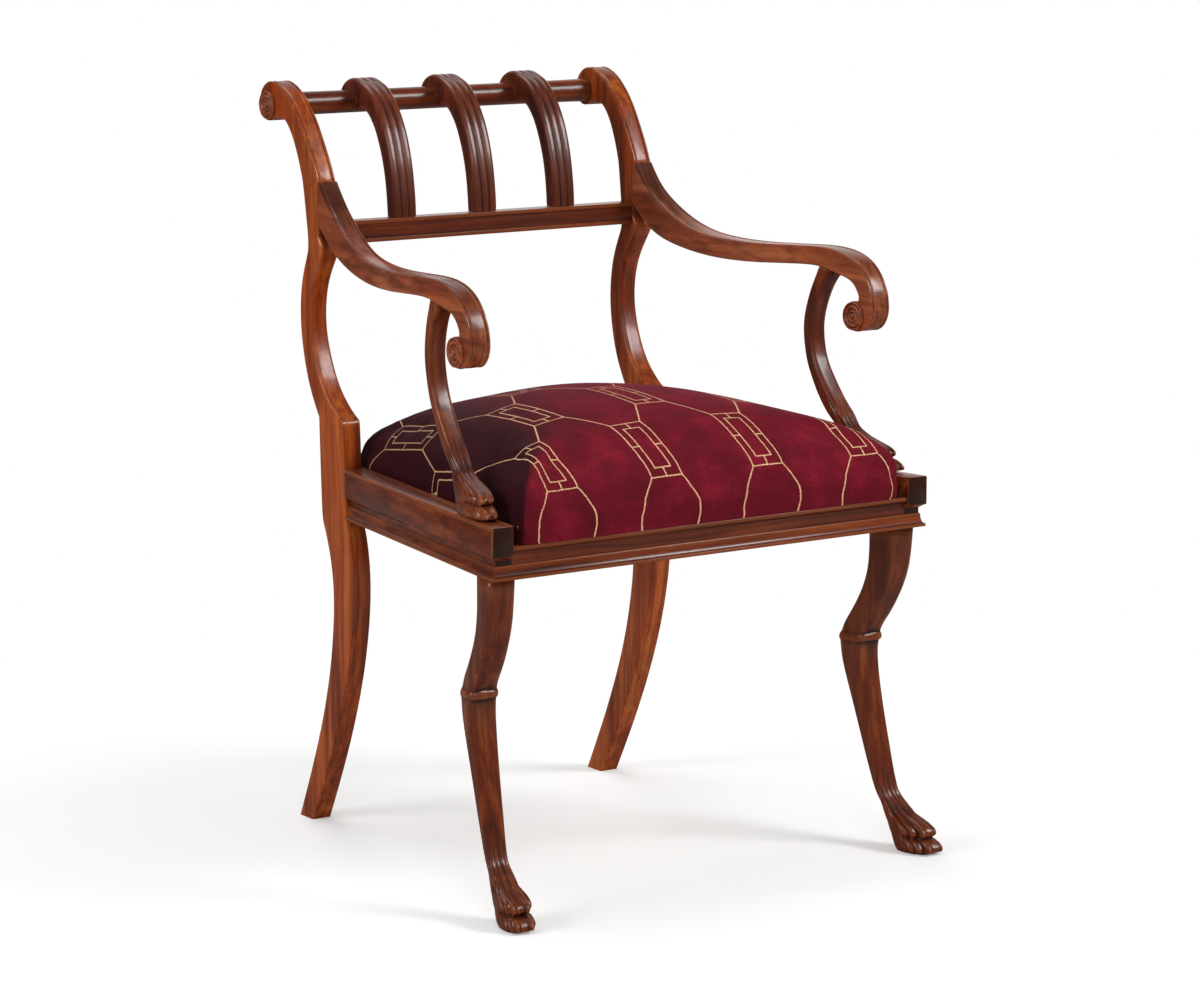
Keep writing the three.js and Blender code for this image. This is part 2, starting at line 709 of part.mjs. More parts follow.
// Side rail: a raised panel over a cove, bordered by a groove, on a plain neck
function sideRailBlank() {
  const panelFoot = seatHeight - panelDrop;
  const section = [
    [-cornerEase, seatHeight], [0, seatHeight - cornerEase], [0, panelFoot],
    [-neckDepth / 2, panelFoot - panelBevel * panelSagShare], [-neckDepth, panelFoot - panelBevel],
    [-neckDepth, railUnderside], [-sideRailThickness, railUnderside], [-sideRailThickness, seatHeight],
  ];
  return longPiece(section, () => 0, seatRun - clearance);
}

function panelGrooves() {
  const panelFoot = seatHeight - panelDrop;
  const far = seatRun - clearance - panelBorder;
  const high = seatHeight - panelBorder;
  const groove = (fromY, toY, fromZ, toZ) => box(-panelGroove, overrun, fromY, toY, fromZ, toZ);
  return join(
    groove(panelBorder, far, high - panelGroove, high),
    groove(panelBorder, panelBorder + panelGroove, panelFoot - overrun, high),
    groove(far - panelGroove, far, panelFoot - overrun, high));
}

// Takes the front end of the side rail back under the panel
function railNose() {
  const panelFoot = seatHeight - panelDrop;
  const outline = [
    [-overrun, railUnderside - overrun], [neckDepth, railUnderside - overrun],
    [neckDepth, panelFoot - panelBevel], [0, panelFoot], [-overrun, panelFoot],
  ];
  return loft([overrun, -sideRailThickness - overrun].map((x) => outline.map(([y, z]) => [x, y, z])));
}

function sideRail() {
  const shaped = placed(cut(sideRailBlank(), panelGrooves(), railNose()), onRail);
  return cut(
    join(shaped, sideRailTenon(0)),
    frontRailTenon(clearance), legTenon(clearance), supportDowel(clearance));
}

function frontRail() {
  const lipFoot = frontRailTop - frontLipHeight;
  const lip = neckDepth - frontLipDepth;
  const back = neckDepth + frontRailThickness;
  const section = [
    [neckDepth, railUnderside], [back, railUnderside], [back, frontRailTop],
    [lip + cornerEase / 2, frontRailTop], [lip, frontRailTop - cornerEase / 2], [lip, lipFoot],
    [neckDepth, lipFoot - frontLipHeight],
  ];
  const rail = crossPiece(section, (y) => railInner(y) - clearance);
  return join(rail, frontRailTenon(0));
}

function rearRail() {
  const section = [
    [rearRailFront, railUnderside], [rearRailBack, railUnderside],
    [rearRailBack, frontRailTop], [rearRailFront, frontRailTop],
  ];
  const rail = crossPiece(section, (y, z) => uprightInner(y, z) - clearance);
  return join(rail, rearRailTenon(0));
}

// Base moulding section: distance out from the neck and height
function mouldingSection() {
  const top = railUnderside + mouldingHeight;
  const fillet = railUnderside + mouldingFillet;
  const [start, swing] = coveReachShares;
  const cove = coveShares.map((share) => {
    const drop = 1 - Math.sqrt(1 - share ** 2);
    return [mouldingReach * (start + swing * drop), top - (top - fillet) * share];
  });
  return [
    [0, top], ...cove, [mouldingReach, fillet], [mouldingReach, railUnderside], [0, railUnderside],
  ];
}

function frontMoulding() {
  const section = mouldingSection().map(([out, z]) => [neckDepth - clearance - out, z]);
  return crossPiece(section, (y) => railOuter(y) - y - clearance / 2);
}

function sideMoulding() {
  const section = mouldingSection().map(([out, z]) => [clearance + out - neckDepth, z]);
  return placed(longPiece(section, (x) => -x + clearance / 2, seatRun - clearance), onRail);
}

// Back rail with a crowned face between fillets
function backRail() {
  const front = seatRun + backRailInset;
  const foot = backRailTop - backRailHeight;
  const face = crownShares.map((share) => {
    const height = foot + backRailFillet + (backRailHeight - 2 * backRailFillet) * share;
    const crown = backRailCrown * (1 - (2 * share - 1) ** 2);
    return [front + backRailQuirk - crown, height];
  });
  const section = [
    [front, backRailTop], [front, backRailTop - backRailFillet], ...face,
    [front, foot + backRailFillet], [front, foot], [front + backRailThickness, foot],
    [front + backRailThickness, backRailTop],
  ];
  const rail = crossPiece(section, (y, z) => uprightInner(y, z) - clearance);
  return cut(join(rail, backRailTenon(0)), ...[-1, 0, 1].map((side) => splatTenon(side, clearance)));
}

function splatTenon(side, grow) {
  const half = splatWidth * splatTenonShare + grow;
  const middle = seatRun + backRailInset + backRailThickness / 2;
  const deep = splatTenonDepth / 2 + grow;
  const centre = side * splatSpacing;
  const low = backRailTop - splatTenonLength - grow;
  return box(centre - half, centre + half, middle - deep, middle + deep, low, backRailTop + overrun);
}

// Splat with a reeded front, hooked over the crest rail
function splat(side) {
  const rise = crestZ - backRailTop;
  const rows = smoothRows(splatRowShares, splatRows).map(([frontY, frontZ, rearY, rearZ]) => station(
    seatRun + crestSetBack * frontY, backRailTop + clearance + rise * frontZ,
    seatRun + crestSetBack * rearY, backRailTop + clearance + rise * rearZ));
  const band = loft([...rows, ...scrollStations(splatScroll, splatTurns)].map(reededRing));
  const moved = placed(band, (x, y, z) => [x + side * splatSpacing, y, z]);
  const boreEnds = [2 * splatSpacing, -2 * splatSpacing];
  const bore = turned(boreEnds.map((x) => [x, crestRailRadius + clearance]), crestY, crestZ);
  return join(cut(moved, bore), splatTenon(side, 0));
}

function reededRing({ front, rear }) {
  const along = rear.clone().sub(front).normalize();
  const reed = splatWidth / reedCount;
  const face = [];
  for (let i = 0; i < reedCount; i++) {
    reedShares.forEach((share, k) => face.push([(i + share) * reed, reedDepth * reedDropShares[k]]));
  }
  face.push([splatWidth, reedDepth]);
  const at = (start, drop, x) => [x - splatWidth / 2, start.x + along.x * drop, start.y + along.y * drop];
  return [...face.map(([x, drop]) => at(front, drop, x)), at(rear, 0, splatWidth), at(rear, 0, 0)];
}

// Turned rosette standing on an outer face
function rosette(centreY, centreZ) {
  const rows = rosetteRowShares.map(([height, radius]) => [
    clearance + rosetteHeight * height, rosetteRadius * radius]);
  return turned(rows, centreY, centreZ);
}

const crestRosette = () => placed(rosette(crestY, crestZ), onUpright);
const armOuterRosette = () => placed(rosette(armScroll.y, armScroll.z), onArm);

function armInnerRosette() {
  const turnedOver = mirrored(rosette(armScroll.y, armScroll.z));
  return placed(turnedOver, (x, y, z) => onArm(x - armThickness, y, z));
}

// Blocks and bearers that carry the lift-out seat
function cornerBlock(startY, direction) {
  const start = -sideRailThickness - clearance;
  const outline = [
    [start, startY], [start, startY + direction * cornerBlockLeg],
    [start - cornerBlockTip, startY + direction * cornerBlockLeg],
    [start - cornerBlockLeg, startY + direction * cornerBlockTip], [start - cornerBlockLeg, startY],
  ];
  const levels = [frontRailTop - cornerBlockHeight, frontRailTop];
  return placed(loft(levels.map((z) => outline.map(([x, y]) => [x, y, z]))), onRail);
}

function bearer() {
  const reach = cornerBlockLeg + clearance;
  const outer = -sideRailThickness - clearance;
  const low = frontRailTop - bearerHeight;
  return placed(
    box(outer - bearerWidth, outer, bearerStart + reach, bearerEnd - reach, low, frontRailTop), onRail);
}

// Lift-out seat: members tenoned into one another, webbing and the cushion
const skirtOuter = -sideRailThickness - seatSideGap;
const memberOuter = skirtOuter - skirtThickness - clearance;
const memberFront = seatFront + skirtThickness + clearance;
const memberBack = seatBack - skirtThickness - clearance;
const memberInner = (y) => railOuter(y) + memberOuter - memberWidth;
const halfOpening = (memberBack - memberFront) / 2 - memberWidth;
const longStrapSpacing = (memberInner(memberBack - memberWidth) + webWidth / 2) / 2;
const crossStrapSpacing = (halfOpening + webWidth / 2) / 2;

function memberTenon(centreY, grow) {
  const third = memberThickness / 3;
  return tenonBar(centreY, memberWidth / 4, seatBase + third, memberTop - third, memberInner, grow);
}

function crossMember(fromY, toY) {
  const section = [[fromY, seatBase], [toY, seatBase], [toY, memberTop], [fromY, memberTop]];
  const member = crossPiece(section, (y) => memberInner(y) - clearance);
  return join(member, memberTenon((fromY + toY) / 2, 0));
}

function sideMember() {
  const member = placed(
    box(memberOuter - memberWidth, memberOuter, memberFront, memberBack, seatBase, memberTop), onRail);
  const middles = [memberFront + memberWidth / 2, memberBack - memberWidth / 2];
  return cut(member, ...middles.map((middle) => memberTenon(middle, clearance)));
}

// Height of a strap above its ends where it passes over or under the others
function strapRows(centre, reach, landing, index, spacing) {
  const lift = (webThickness + clearance) / 2;
  const flat = webWidth * webFlatShare;
  const crossings = [-1, 0, 1].flatMap((other) => {
    const weave = (index + other) % 2 === 0 ? lift : -lift;
    const middle = centre + other * spacing;
    return [[middle - flat, weave], [middle + flat, weave]];
  });
  const ends = [reach, reach - landing];
  return [
    ...ends.map((end) => [centre - end, 0]), ...crossings,
    ...ends.reverse().map((end) => [centre + end, 0]),
  ];
}

function longStrap(index) {
  const middle = (memberFront + memberBack) / 2;
  const landing = memberWidth * webLandingShare;
  const rows = strapRows(middle, halfOpening + landing, landing, index, crossStrapSpacing);
  const base = memberTop + clearance;
  const x = index * longStrapSpacing;
  const half = webWidth / 2;
  return loft(rows.map(([y, rise]) => [
    [x - half, y, base + rise], [x + half, y, base + rise],
    [x + half, y, base + rise + webThickness], [x - half, y, base + rise + webThickness],
  ]));
}

function crossStrap(index) {
  const y = (memberFront + memberBack) / 2 + index * crossStrapSpacing;
  const landing = memberWidth * webLandingShare;
  const reach = memberInner(y + webWidth / 2) + landing;
  const rows = strapRows(0, reach, landing, index, longStrapSpacing);
  const base = memberTop + clearance;
  const half = webWidth / 2;
  return loft(rows.map(([x, rise]) => [
    [x, y - half, base - rise], [x, y + half, base - rise],
    [x, y + half, base - rise + webThickness], [x, y - half, base - rise + webThickness],
  ]));
}

// Half of the cushion outline as distance in from its side line and depth
function cushionHalfOutline() {
  const radius = cushionCornerRadius;
  const turns = quarterShares.map((share) => (share * Math.PI) / 2);
  const run = seatBack - seatFront - 2 * radius;
  const frontCorner = turns.map((turn) => [
    radius - radius * Math.sin(turn), seatFront + radius - radius * Math.cos(turn)]);
  const side = sideLineShares.map((share) => [0, seatFront + radius + run * share]);
  const rearCorner = frontCorner.map(([inset, y]) => [inset, seatFront + seatBack - y]).reverse();
  return [...frontCorner, ...side, ...rearCorner];
}

function cushionOutline() {
  const sideLine = (y) => railOuter(y) + skirtOuter;
  const half = cushionHalfOutline().map(([inset, y]) => [sideLine(y) - inset, y]);
  const rear = crossLineShares.map((share) => [half.at(-1)[0] * share, seatBack]);
  const front = crossLineShares.map((share) => [half[0][0] * share, seatFront]).reverse();
  const right = [...front, ...half, ...rear];
  return [...right, ...right.map(([x, y]) => [-x, y]).reverse()];
}

function cushionForm() {
  const outline = cushionOutline();
  const middle = (seatFront + seatBack) / 2;
  const reach = (seatBack - seatFront) / 2;
  return loft(cushionRowShares.map(([height, sides, front]) => outline.map(([x, y]) => {
    const [across, deep] = [Math.abs(x) / (railOuter(y) + skirtOuter), Math.abs(y - middle) / reach];
    const dome = Math.min(1, Math.max(0, sides) * domeShare);
    const round = (Math.max(across, deep) / Math.hypot(across, deep)) ** dome;
    const depth = (y < middle ? 1 - front : 1 - sides) * round;
    const back = Math.max(0, (y - middle) / reach) * depth;
    const drop = 1 - rearDropShare * back ** 2;
    return [x * (1 - sides) * round, middle + (y - middle) * depth, seatBase + crownRise * height * drop];
  })));
}

function cushion() {
  const webTop = memberTop + 2 * (webThickness + clearance) + clearance;
  const inner = (y) => railOuter(y) + skirtOuter - skirtThickness;
  const [front, back] = [seatFront + skirtThickness, seatBack - skirtThickness];
  const low = seatBase - overrun;
  const recess = crossPiece([[front, low], [back, low], [back, webTop], [front, webTop]], inner);
  return cut(cushionForm(), recess);
}

// Finishes
const mahogany = { color: 0x7c3a22, roughness: 0.28, metalness: 0 };
const beech = { color: 0xb98d5f, roughness: 0.62, metalness: 0 };
const jute = { color: 0xa58458, roughness: 0.9, metalness: 0 };
const velvet = { color: 0x661226, roughness: 0.85, metalness: 0 };

const chair = new THREE.Group();
chair.name = 'klismos_armchair';

function add(name, geometry, finish) {
  const mesh = new THREE.Mesh(geometry, new THREE.MeshStandardMaterial(finish));
  mesh.name = name;
  chair.add(mesh);
}

function addPair(name, geometry, finish) {
  add(`right_${name}`, geometry, finish);
  add(`left_${name}`, mirrored(geometry), finish);
}

addPair('rear_upright', rearUpright(), mahogany);
addPair('arm', arm(), mahogany);
addPair('arm_support', armSupport(), mahogany);
addPair('front_leg', frontLeg(), mahogany);
addPair('side_rail', sideRail(), mahogany);
add('front_rail', frontRail(), mahogany);
add('rear_rail', rearRail(), mahogany);
add('front_base_moulding', frontMoulding(), mahogany);
addPair('base_moulding', sideMoulding(), mahogany);
add('crest_rail', crestRailBar(0), mahogany);
add('back_rail', backRail(), mahogany);
add('left_splat', splat(-1), mahogany);
add('centre_splat', splat(0), mahogany);
add('right_splat', splat(1), mahogany);
addPair('crest_rosette', crestRosette(), mahogany);
addPair('arm_outer_rosette', armOuterRosette(), mahogany);
addPair('arm_inner_rosette', armInnerRosette(), mahogany);
addPair('front_corner_block', cornerBlock(bearerStart, 1), beech);
addPair('rear_corner_block', cornerBlock(bearerEnd, -1), beech);
addPair('seat_bearer', bearer(), beech);
addPair('seat_side_member', sideMember(), beech);
add('seat_front_member', crossMember(memberFront, memberFront + memberWidth), beech);
add('seat_rear_member', crossMember(memberBack - memberWidth, memberBack), beech);
add('left_long_strap', longStrap(-1), jute);
add('centre_long_strap', longStrap(0), jute);
add('right_long_strap', longStrap(1), jute);
add('front_cross_strap', crossStrap(-1), jute);
add('middle_cross_strap', crossStrap(0), jute);
add('rear_cross_strap', crossStrap(1), jute);
add('seat_cushion', cushion(), velvet);

// The chair stands centred on its own bounding box
const bounds = new THREE.Box3().setFromObject(chair);
const middle = bounds.getCenter(new THREE.Vector3());
chair.children.forEach((mesh) => mesh.geometry.translate(-middle.x, -middle.y, -bounds.min.z));

export default chair;
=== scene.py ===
"""Finishes, upholstery and studio of the klismos armchair.

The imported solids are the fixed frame. Each polished piece gets a finer skin over its own
solid, the paws are carved, the seat is blown up as cloth, and what repeats is grown by
node trees. Sizes of pieces are in millimetres, and meshes and the studio in metres.
"""

import logging
import math
from collections.abc import Iterator
from contextlib import contextmanager
from dataclasses import dataclass, field
from enum import Enum

import bmesh
import bpy
import numpy as np
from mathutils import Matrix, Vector
from mathutils.bvhtree import BVHTree


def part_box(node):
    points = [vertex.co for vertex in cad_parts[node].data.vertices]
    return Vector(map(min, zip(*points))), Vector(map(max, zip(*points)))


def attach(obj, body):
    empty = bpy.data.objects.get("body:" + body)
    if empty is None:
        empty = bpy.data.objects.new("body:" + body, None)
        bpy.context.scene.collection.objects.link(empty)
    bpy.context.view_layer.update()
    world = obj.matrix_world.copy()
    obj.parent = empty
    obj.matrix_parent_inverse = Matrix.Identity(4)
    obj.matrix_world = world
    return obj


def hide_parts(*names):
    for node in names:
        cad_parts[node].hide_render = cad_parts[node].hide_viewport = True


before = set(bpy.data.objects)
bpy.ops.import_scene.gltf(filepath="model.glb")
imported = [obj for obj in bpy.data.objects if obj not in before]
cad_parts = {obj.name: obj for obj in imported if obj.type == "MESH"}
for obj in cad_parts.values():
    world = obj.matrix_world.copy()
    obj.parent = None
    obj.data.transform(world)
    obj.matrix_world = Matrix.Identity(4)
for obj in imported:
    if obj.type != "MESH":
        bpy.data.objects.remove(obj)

Pair = tuple[float, float]
Triple = tuple[float, float, float]
Four = tuple[float, float, float, float]
Run = tuple[tuple[float, ...], tuple[float, ...]]
Socket = bpy.types.NodeSocket
Value = Socket | float | Triple | Four

LOG = logging.getLogger("klismos")
MM = 0.001
WELD = 0.02 * MM
TINY = 1e-9
WHITE = (1.0, 1.0, 1.0, 1.0)
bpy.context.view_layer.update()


class Side(Enum):
    """The two sides of the chair, by the sign of x."""

    RIGHT = 1
    LEFT = -1

    @property
    def word(self) -> str:
        """The word that a piece's name starts with."""
        return self.name.lower()


class Grain(Enum):
    """The way a board's fibres run, as the turn that lays them along z."""

    ACROSS = (0.0, math.pi / 2, 0.0)
    DEEP = (math.pi / 2, 0.0, 0.0)
    UPRIGHT = (0.0, 0.0, 0.0)


class Board(Enum):
    """Dark, middle and light colours of the boards that the chair is cut from."""

    AMBER = ("421507", "913f12", "c66f2d")
    CHESTNUT = ("42180c", "8c4425", "c07246")
    RUSSET = ("2c0f07", "6a2b11", "9c5326")
    UMBER = ("200b06", "541f10", "864022")


def linear(code: str) -> Four:
    """A screen colour in linear light.

    Args:
        code: Six hexadecimal digits.

    Returns:
        Red, green, blue and full alpha.
    """
    parts = [int(code[i : i + 2], 16) / 255 for i in (0, 2, 4)]
    light = [p / 12.92 if p <= 0.04045 else ((p + 0.055) / 1.055) ** 2.4 for p in parts]
    return (light[0], light[1], light[2], 1.0)


class Wiring:
    """A node tree while it is being drawn."""

    def __init__(self, tree: bpy.types.NodeTree) -> None:
        """Takes the tree over."""
        self.tree = tree

    def feed(self, socket: Socket, value: Value) -> None:
        """Links an input, or sets its own value.

        Args:
            socket: The input.
            value: The socket to link to it, or the value to set.
        """
        if isinstance(value, Socket):
            self.tree.links.new(value, socket)
        else:
            socket.default_value = value

    def node(self, kind: str, inputs: dict | None = None, **settings: object) -> bpy.types.Node:
        """Adds a node.

        Args:
            kind: The node's type, which for a shader node goes without its prefix.
            inputs: Values or sockets for its inputs, by name or number.
            settings: Its own properties.

        Returns:
            The new node.
        """
        made = self.tree.nodes.new(kind if "Node" in kind else "ShaderNode" + kind)
        for key, value in settings.items():
            setattr(made, key, value)
        for key, value in (inputs or {}).items():
            self.feed(made.inputs[key], value)
        return made

    def fold(self, operation: str, first: Value, *others: Value) -> Socket:
        """Works numbers into one by an operation, from the left.

        Args:
            operation: The operation's name.
            first: The number to start from.
            others: The numbers that follow, or none where the operation takes one.

        Returns:
            The result.
        """
        result = first
        for other in others or (0.0,):
            result = self.node("Math", {0: result, 1: other}, operation=operation).outputs[0]
        return result

    def plus(self, *values: Value) -> Socket:
        """The sum of some numbers."""
        return self.fold("ADD", *values)

    def minus(self, first: Value, second: Value) -> Socket:
        """One number less another."""
        return self.fold("SUBTRACT", first, second)

    def times(self, *values: Value) -> Socket:
        """The product of some numbers."""
        return self.fold("MULTIPLY", *values)

    def spread(self, value: Value, low: Value, high: Value, to_low: Value, to_high: Value) -> Socket:
        """Carries one range of numbers to another, held at its ends.

        Args:
            value: The number.
            low: Where the range starts.
            high: Where the range ends.
            to_low: What its start becomes.
            to_high: What its end becomes.

        Returns:
            The number in the new range.
        """
        inputs = {"Value": value, "From Min": low, "From Max": high, "To Min": to_low, "To Max": to_high}
        return self.node("MapRange", inputs).outputs["Result"]

    def vector(self, operation: str, first: Value, second: Value = (0.0, 0.0, 0.0)) -> Socket:
        """A vector worked out of one or two others."""
        return self.node("VectorMath", {0: first, 1: second}, operation=operation).outputs["Vector"]

    def measure(self, operation: str, first: Value, second: Value = (0.0, 0.0, 0.0)) -> Socket:
        """A number worked out of one or two vectors."""
        return self.node("VectorMath", {0: first, 1: second}, operation=operation).outputs["Value"]

    def part(self, vector: Socket, axis: str) -> Socket:
        """One part of a vector."""
        return self.node("SeparateXYZ", {0: vector}).outputs[axis]


class Shade(Wiring):
    """A material's node tree while it is being drawn."""

    def __init__(self, name: str) -> None:
        """Starts a material with its principled shader.

        Args:
            name: The material's name.
        """
        self.material = bpy.data.materials.new(name)
        self.material.use_nodes = True
        super().__init__(self.material.node_tree)
        self.shader = self.tree.nodes["Principled BSDF"]
        self.place = self.node("TexCoord").outputs["Object"]

    def fix(self, values: dict[str, Value]) -> None:
        """Sets the shader's own sockets.

        Args:
            values: The values, by the sockets' names.
        """
        for name, value in values.items():
            self.shader.inputs[name].default_value = value

    def blend(self, share: Value, first: Value, second: Value, way: str = "MIX") -> Socket:
        """Mixes two colours. A mix node's colour sockets go by number, because others share their names.

        Args:
            share: The second colour's share.
            first: The colour below.
            second: The colour above.
            way: How they mix.

        Returns:
            The mixed colour.
        """
        inputs = {"Factor": share, 6: first, 7: second}
        return self.node("Mix", inputs, data_type="RGBA", blend_type=way).outputs[2]

    def ramp(self, value: Value, *stops: tuple[float, str | Four]) -> Socket:
        """A colour ramp over a number.

        Args:
            value: The number.
            stops: Places on the ramp, each with a screen colour or a linear one.

        Returns:
            The colour.
        """
        made = self.node("ValToRGB", {"Fac": value})
        band = made.color_ramp.elements
        while len(band) < len(stops):
            band.new(0.5)
        for stop, (place, colour) in zip(band, stops):
            stop.position = place
            stop.color = linear(colour) if isinstance(colour, str) else colour
        return made.outputs["Color"]

    def noise(self, vector: Value, scale: float, detail: float = 4.0, rough: float = 0.55) -> Socket:
        """Plain noise on a vector."""
        inputs = {"Vector": vector, "Scale": scale, "Detail": detail, "Roughness": rough}
        return self.node("TexNoise", inputs).outputs["Fac"]

    def wander(self, vector: Value, scale: float, detail: float) -> Socket:
        """Noise with three parts, to bend a vector by."""
        return self.node("TexNoise", {"Vector": vector, "Scale": scale, "Detail": detail}).outputs["Color"]

    def laid(self, grain: Grain, offset: Triple) -> Socket:
        """Places on the piece, moved aside and turned so that the fibres run along z."""
        inputs = {"Vector": self.place, "Location": offset, "Rotation": grain.value}
        return self.node("Mapping", inputs).outputs[0]

    def finish(
        self, colour: Value, rough: Value, height: Value, lift: float, strength: float
    ) -> bpy.types.Material:
        """Joins colour, roughness and relief to the shader.

        Args:
            colour: The base colour.
            rough: The roughness.
            height: The relief, from 0 to 1.
            lift: The relief's height in millimetres.
            strength: How much of the relief shows.

        Returns:
            The finished material.
        """
        bump = self.node("Bump", {"Height": height, "Distance": lift * MM, "Strength": strength})
        self.feed(self.shader.inputs["Base Color"], colour)
        self.feed(self.shader.inputs["Roughness"], rough)
        self.feed(self.shader.inputs["Normal"], bump.outputs["Normal"])
        return self.material


@dataclass(frozen=True)
class PolishedMahogany:
    """Straight-grained red timber under a satin polish.

    Each cut is another stretch of the board, so that no two pieces show the same figure. A
    shaded patch is painted shade by a joint, a darker ball weaker on faces that face sideways:
    its middle, mirrored to both sides, and its radius.
    """

    board: Board
    grain: Grain
    cut: int
    end_grain: float = 0.3
    heart: Four | None = None
    cut_step: Triple = (0.37, 0.53, 0.29)
    drift: Triple = (0.016, 0.016, 0.05)
    stretch: Triple = (1.0, 1.0, 0.045)
    streaks_per_metre: float = 95.0
    pores_per_metre: float = 620.0
    rings_per_metre: float = 26.0
    clouds_per_metre: float = 9.0
    drifts_per_metre: float = 5.0
    stops: Triple = (0.3, 0.5, 0.72)
    end_stain: str = "1c0a06"
    heart_stain: str = "2a0f0a"
    grime: str = "1d0a07"
    grime_share: float = 0.9
    rubbed_share: float = 0.36
    coat: float = 0.22
    coat_rough: float = 0.14

    def figured(self, shade: Shade, bent: Socket, fibre: Socket, streak: Socket, pores: Socket) -> Socket:
        """Draws the figure, the growth lines, the pores and cloudy patches.

        Args:
            shade: The material.
            bent: Places in the board, slightly bent.
            fibre: The same, drawn out along the fibres.
            streak: Fine streaks.
            pores: Finer specks.

        Returns:
            The bare timber's colour.
        """
        dark, _, light = (linear(code) for code in self.board.value)
        broad = shade.noise(fibre, self.streaks_per_metre / 5, detail=3.0, rough=0.5)
        cloudy = shade.noise(bent, self.clouds_per_metre, detail=3.0, rough=0.5)
        wave = {"Scale": self.rings_per_metre, "Distortion": 7.0, "Detail": 3.0, "Detail Scale": 1.4}
        rings = shade.node("TexWave", {"Vector": fibre, **wave}, wave_type="BANDS", bands_direction="X")
        figure = shade.plus(shade.times(streak, 0.6), shade.times(broad, 0.4))
        colour = shade.ramp(figure, *zip(self.stops, self.board.value))
        colour = shade.blend(shade.spread(rings.outputs["Fac"], 0.0, 0.3, 0.34, 0.0), colour, dark)
        colour = shade.blend(shade.spread(pores, 0.6, 0.72, 0.0, 0.5), colour, dark)
        return shade.blend(shade.spread(cloudy, 0.35, 0.7, 0.0, 0.3), colour, light, "SOFT_LIGHT")

    def stained(self, shade: Shade, colour: Socket) -> Socket:
        """Darkens the end grain, and paints shade round a shaded patch where it has one.

        Args:
            shade: The material.
            colour: The bare timber's colour.

        Returns:
            The colour with darker end grain and painted shade.
        """
        normal = shade.node("NewGeometry").outputs["Normal"]
        along = shade.node("Mapping", {"Vector": normal, "Rotation": self.grain.value}).outputs[0]
        ends = shade.spread(shade.fold("ABSOLUTE", shade.part(along, "Z")), 0.75, 0.97, 0.0, self.end_grain)
        colour = shade.blend(ends, colour, linear(self.end_stain))
        if not self.heart:
            return colour
        # Painted shade: a darker patch by the joint, weaker where the face turns sideways.
        *middle, radius = self.heart
        away = shade.measure("DISTANCE", shade.vector("ABSOLUTE", shade.place), middle)
        cloud = shade.spread(away, radius * 0.35, radius, 0.8, 0.0)
        aside = shade.fold("ABSOLUTE", shade.part(normal, "X"))
        cloud = shade.times(cloud, shade.spread(aside, 0.5, 0.95, 1.0, 0.15))
        return shade.blend(cloud, colour, linear(self.heart_stain))

    def material(self, name: str) -> bpy.types.Material:
        """Draws the timber with painted shade in its hollows and edges lightened partly as rubbed wear and
        partly as painted highlight.

        Args:
            name: The material's name.

        Returns:
            The material.
        """
        shade = Shade(name)
        laid = shade.laid(self.grain, tuple(self.cut * step for step in self.cut_step))
        wander = shade.wander(laid, self.drifts_per_metre, detail=3.0)
        bent = shade.vector("ADD", laid, shade.vector("MULTIPLY", wander, self.drift))
        fibre = shade.vector("MULTIPLY", bent, self.stretch)
        streak = shade.noise(fibre, self.streaks_per_metre, detail=7.0, rough=0.62)
        pores = shade.noise(fibre, self.pores_per_metre, detail=2.0, rough=0.5)
        colour = self.stained(shade, self.figured(shade, bent, fibre, streak, pores))
        relief = shade.node("Attribute", attribute_name="relief").outputs["Fac"]
        # Painted shade: the hollows darken towards the hollow shade colour.
        hollow = shade.spread(relief, 0.53, 0.72, 0.0, self.grime_share)
        # Edges lighten towards the board's light colour, partly as rubbed wear and partly as painted
        # highlight.
        edge = shade.spread(relief, 0.45, 0.2, 0.0, self.rubbed_share)
        colour = shade.blend(hollow, colour, linear(self.grime))
        colour = shade.blend(edge, colour, linear(self.board.value[2]))
        rough = shade.plus(shade.spread(streak, 0.3, 0.7, 0.36, 0.27), shade.times(hollow, 0.25))
        height = shade.minus(shade.times(streak, 0.5), shade.spread(pores, 0.6, 0.75, 0.0, 0.5))
        shade.fix({"Specular IOR Level": 0.35, "Coat Weight": self.coat, "Coat Roughness": self.coat_rough})
        return shade.finish(colour, rough, height, lift=0.35, strength=0.22)


@dataclass(frozen=True)
class PlanedBeech:
    """Pale unpolished timber of the hidden blocks and the seat frame."""

    grain: Grain
    cut: int
    cut_step: Triple = (0.41, 0.23, 0.0)
    stretch: Triple = (1.0, 1.0, 0.06)
    streaks_per_metre: float = 120.0
    flecks_per_metre: float = 900.0
    stops: Triple = (0.3, 0.55, 0.75)
    tones: tuple[str, ...] = ("8a6238", "b98d5f", "cfa878")
    fleck: str = "6f4a28"

    def material(self, name: str) -> bpy.types.Material:
        """Draws the timber with its small flecks and saw marks.

        Args:
            name: The material's name.

        Returns:
            The material.
        """
        shade = Shade(name)
        laid = shade.laid(self.grain, tuple(self.cut * step for step in self.cut_step))
        fibre = shade.vector("MULTIPLY", laid, self.stretch)
        streak = shade.noise(fibre, self.streaks_per_metre, detail=5.0)
        fleck = shade.noise(fibre, self.flecks_per_metre, detail=1.0)
        colour = shade.ramp(streak, *zip(self.stops, self.tones))
        colour = shade.blend(shade.spread(fleck, 0.62, 0.7, 0.0, 0.45), colour, linear(self.fleck))
        rough = shade.spread(streak, 0.3, 0.7, 0.7, 0.56)
        return shade.finish(colour, rough, streak, lift=0.3, strength=0.3)


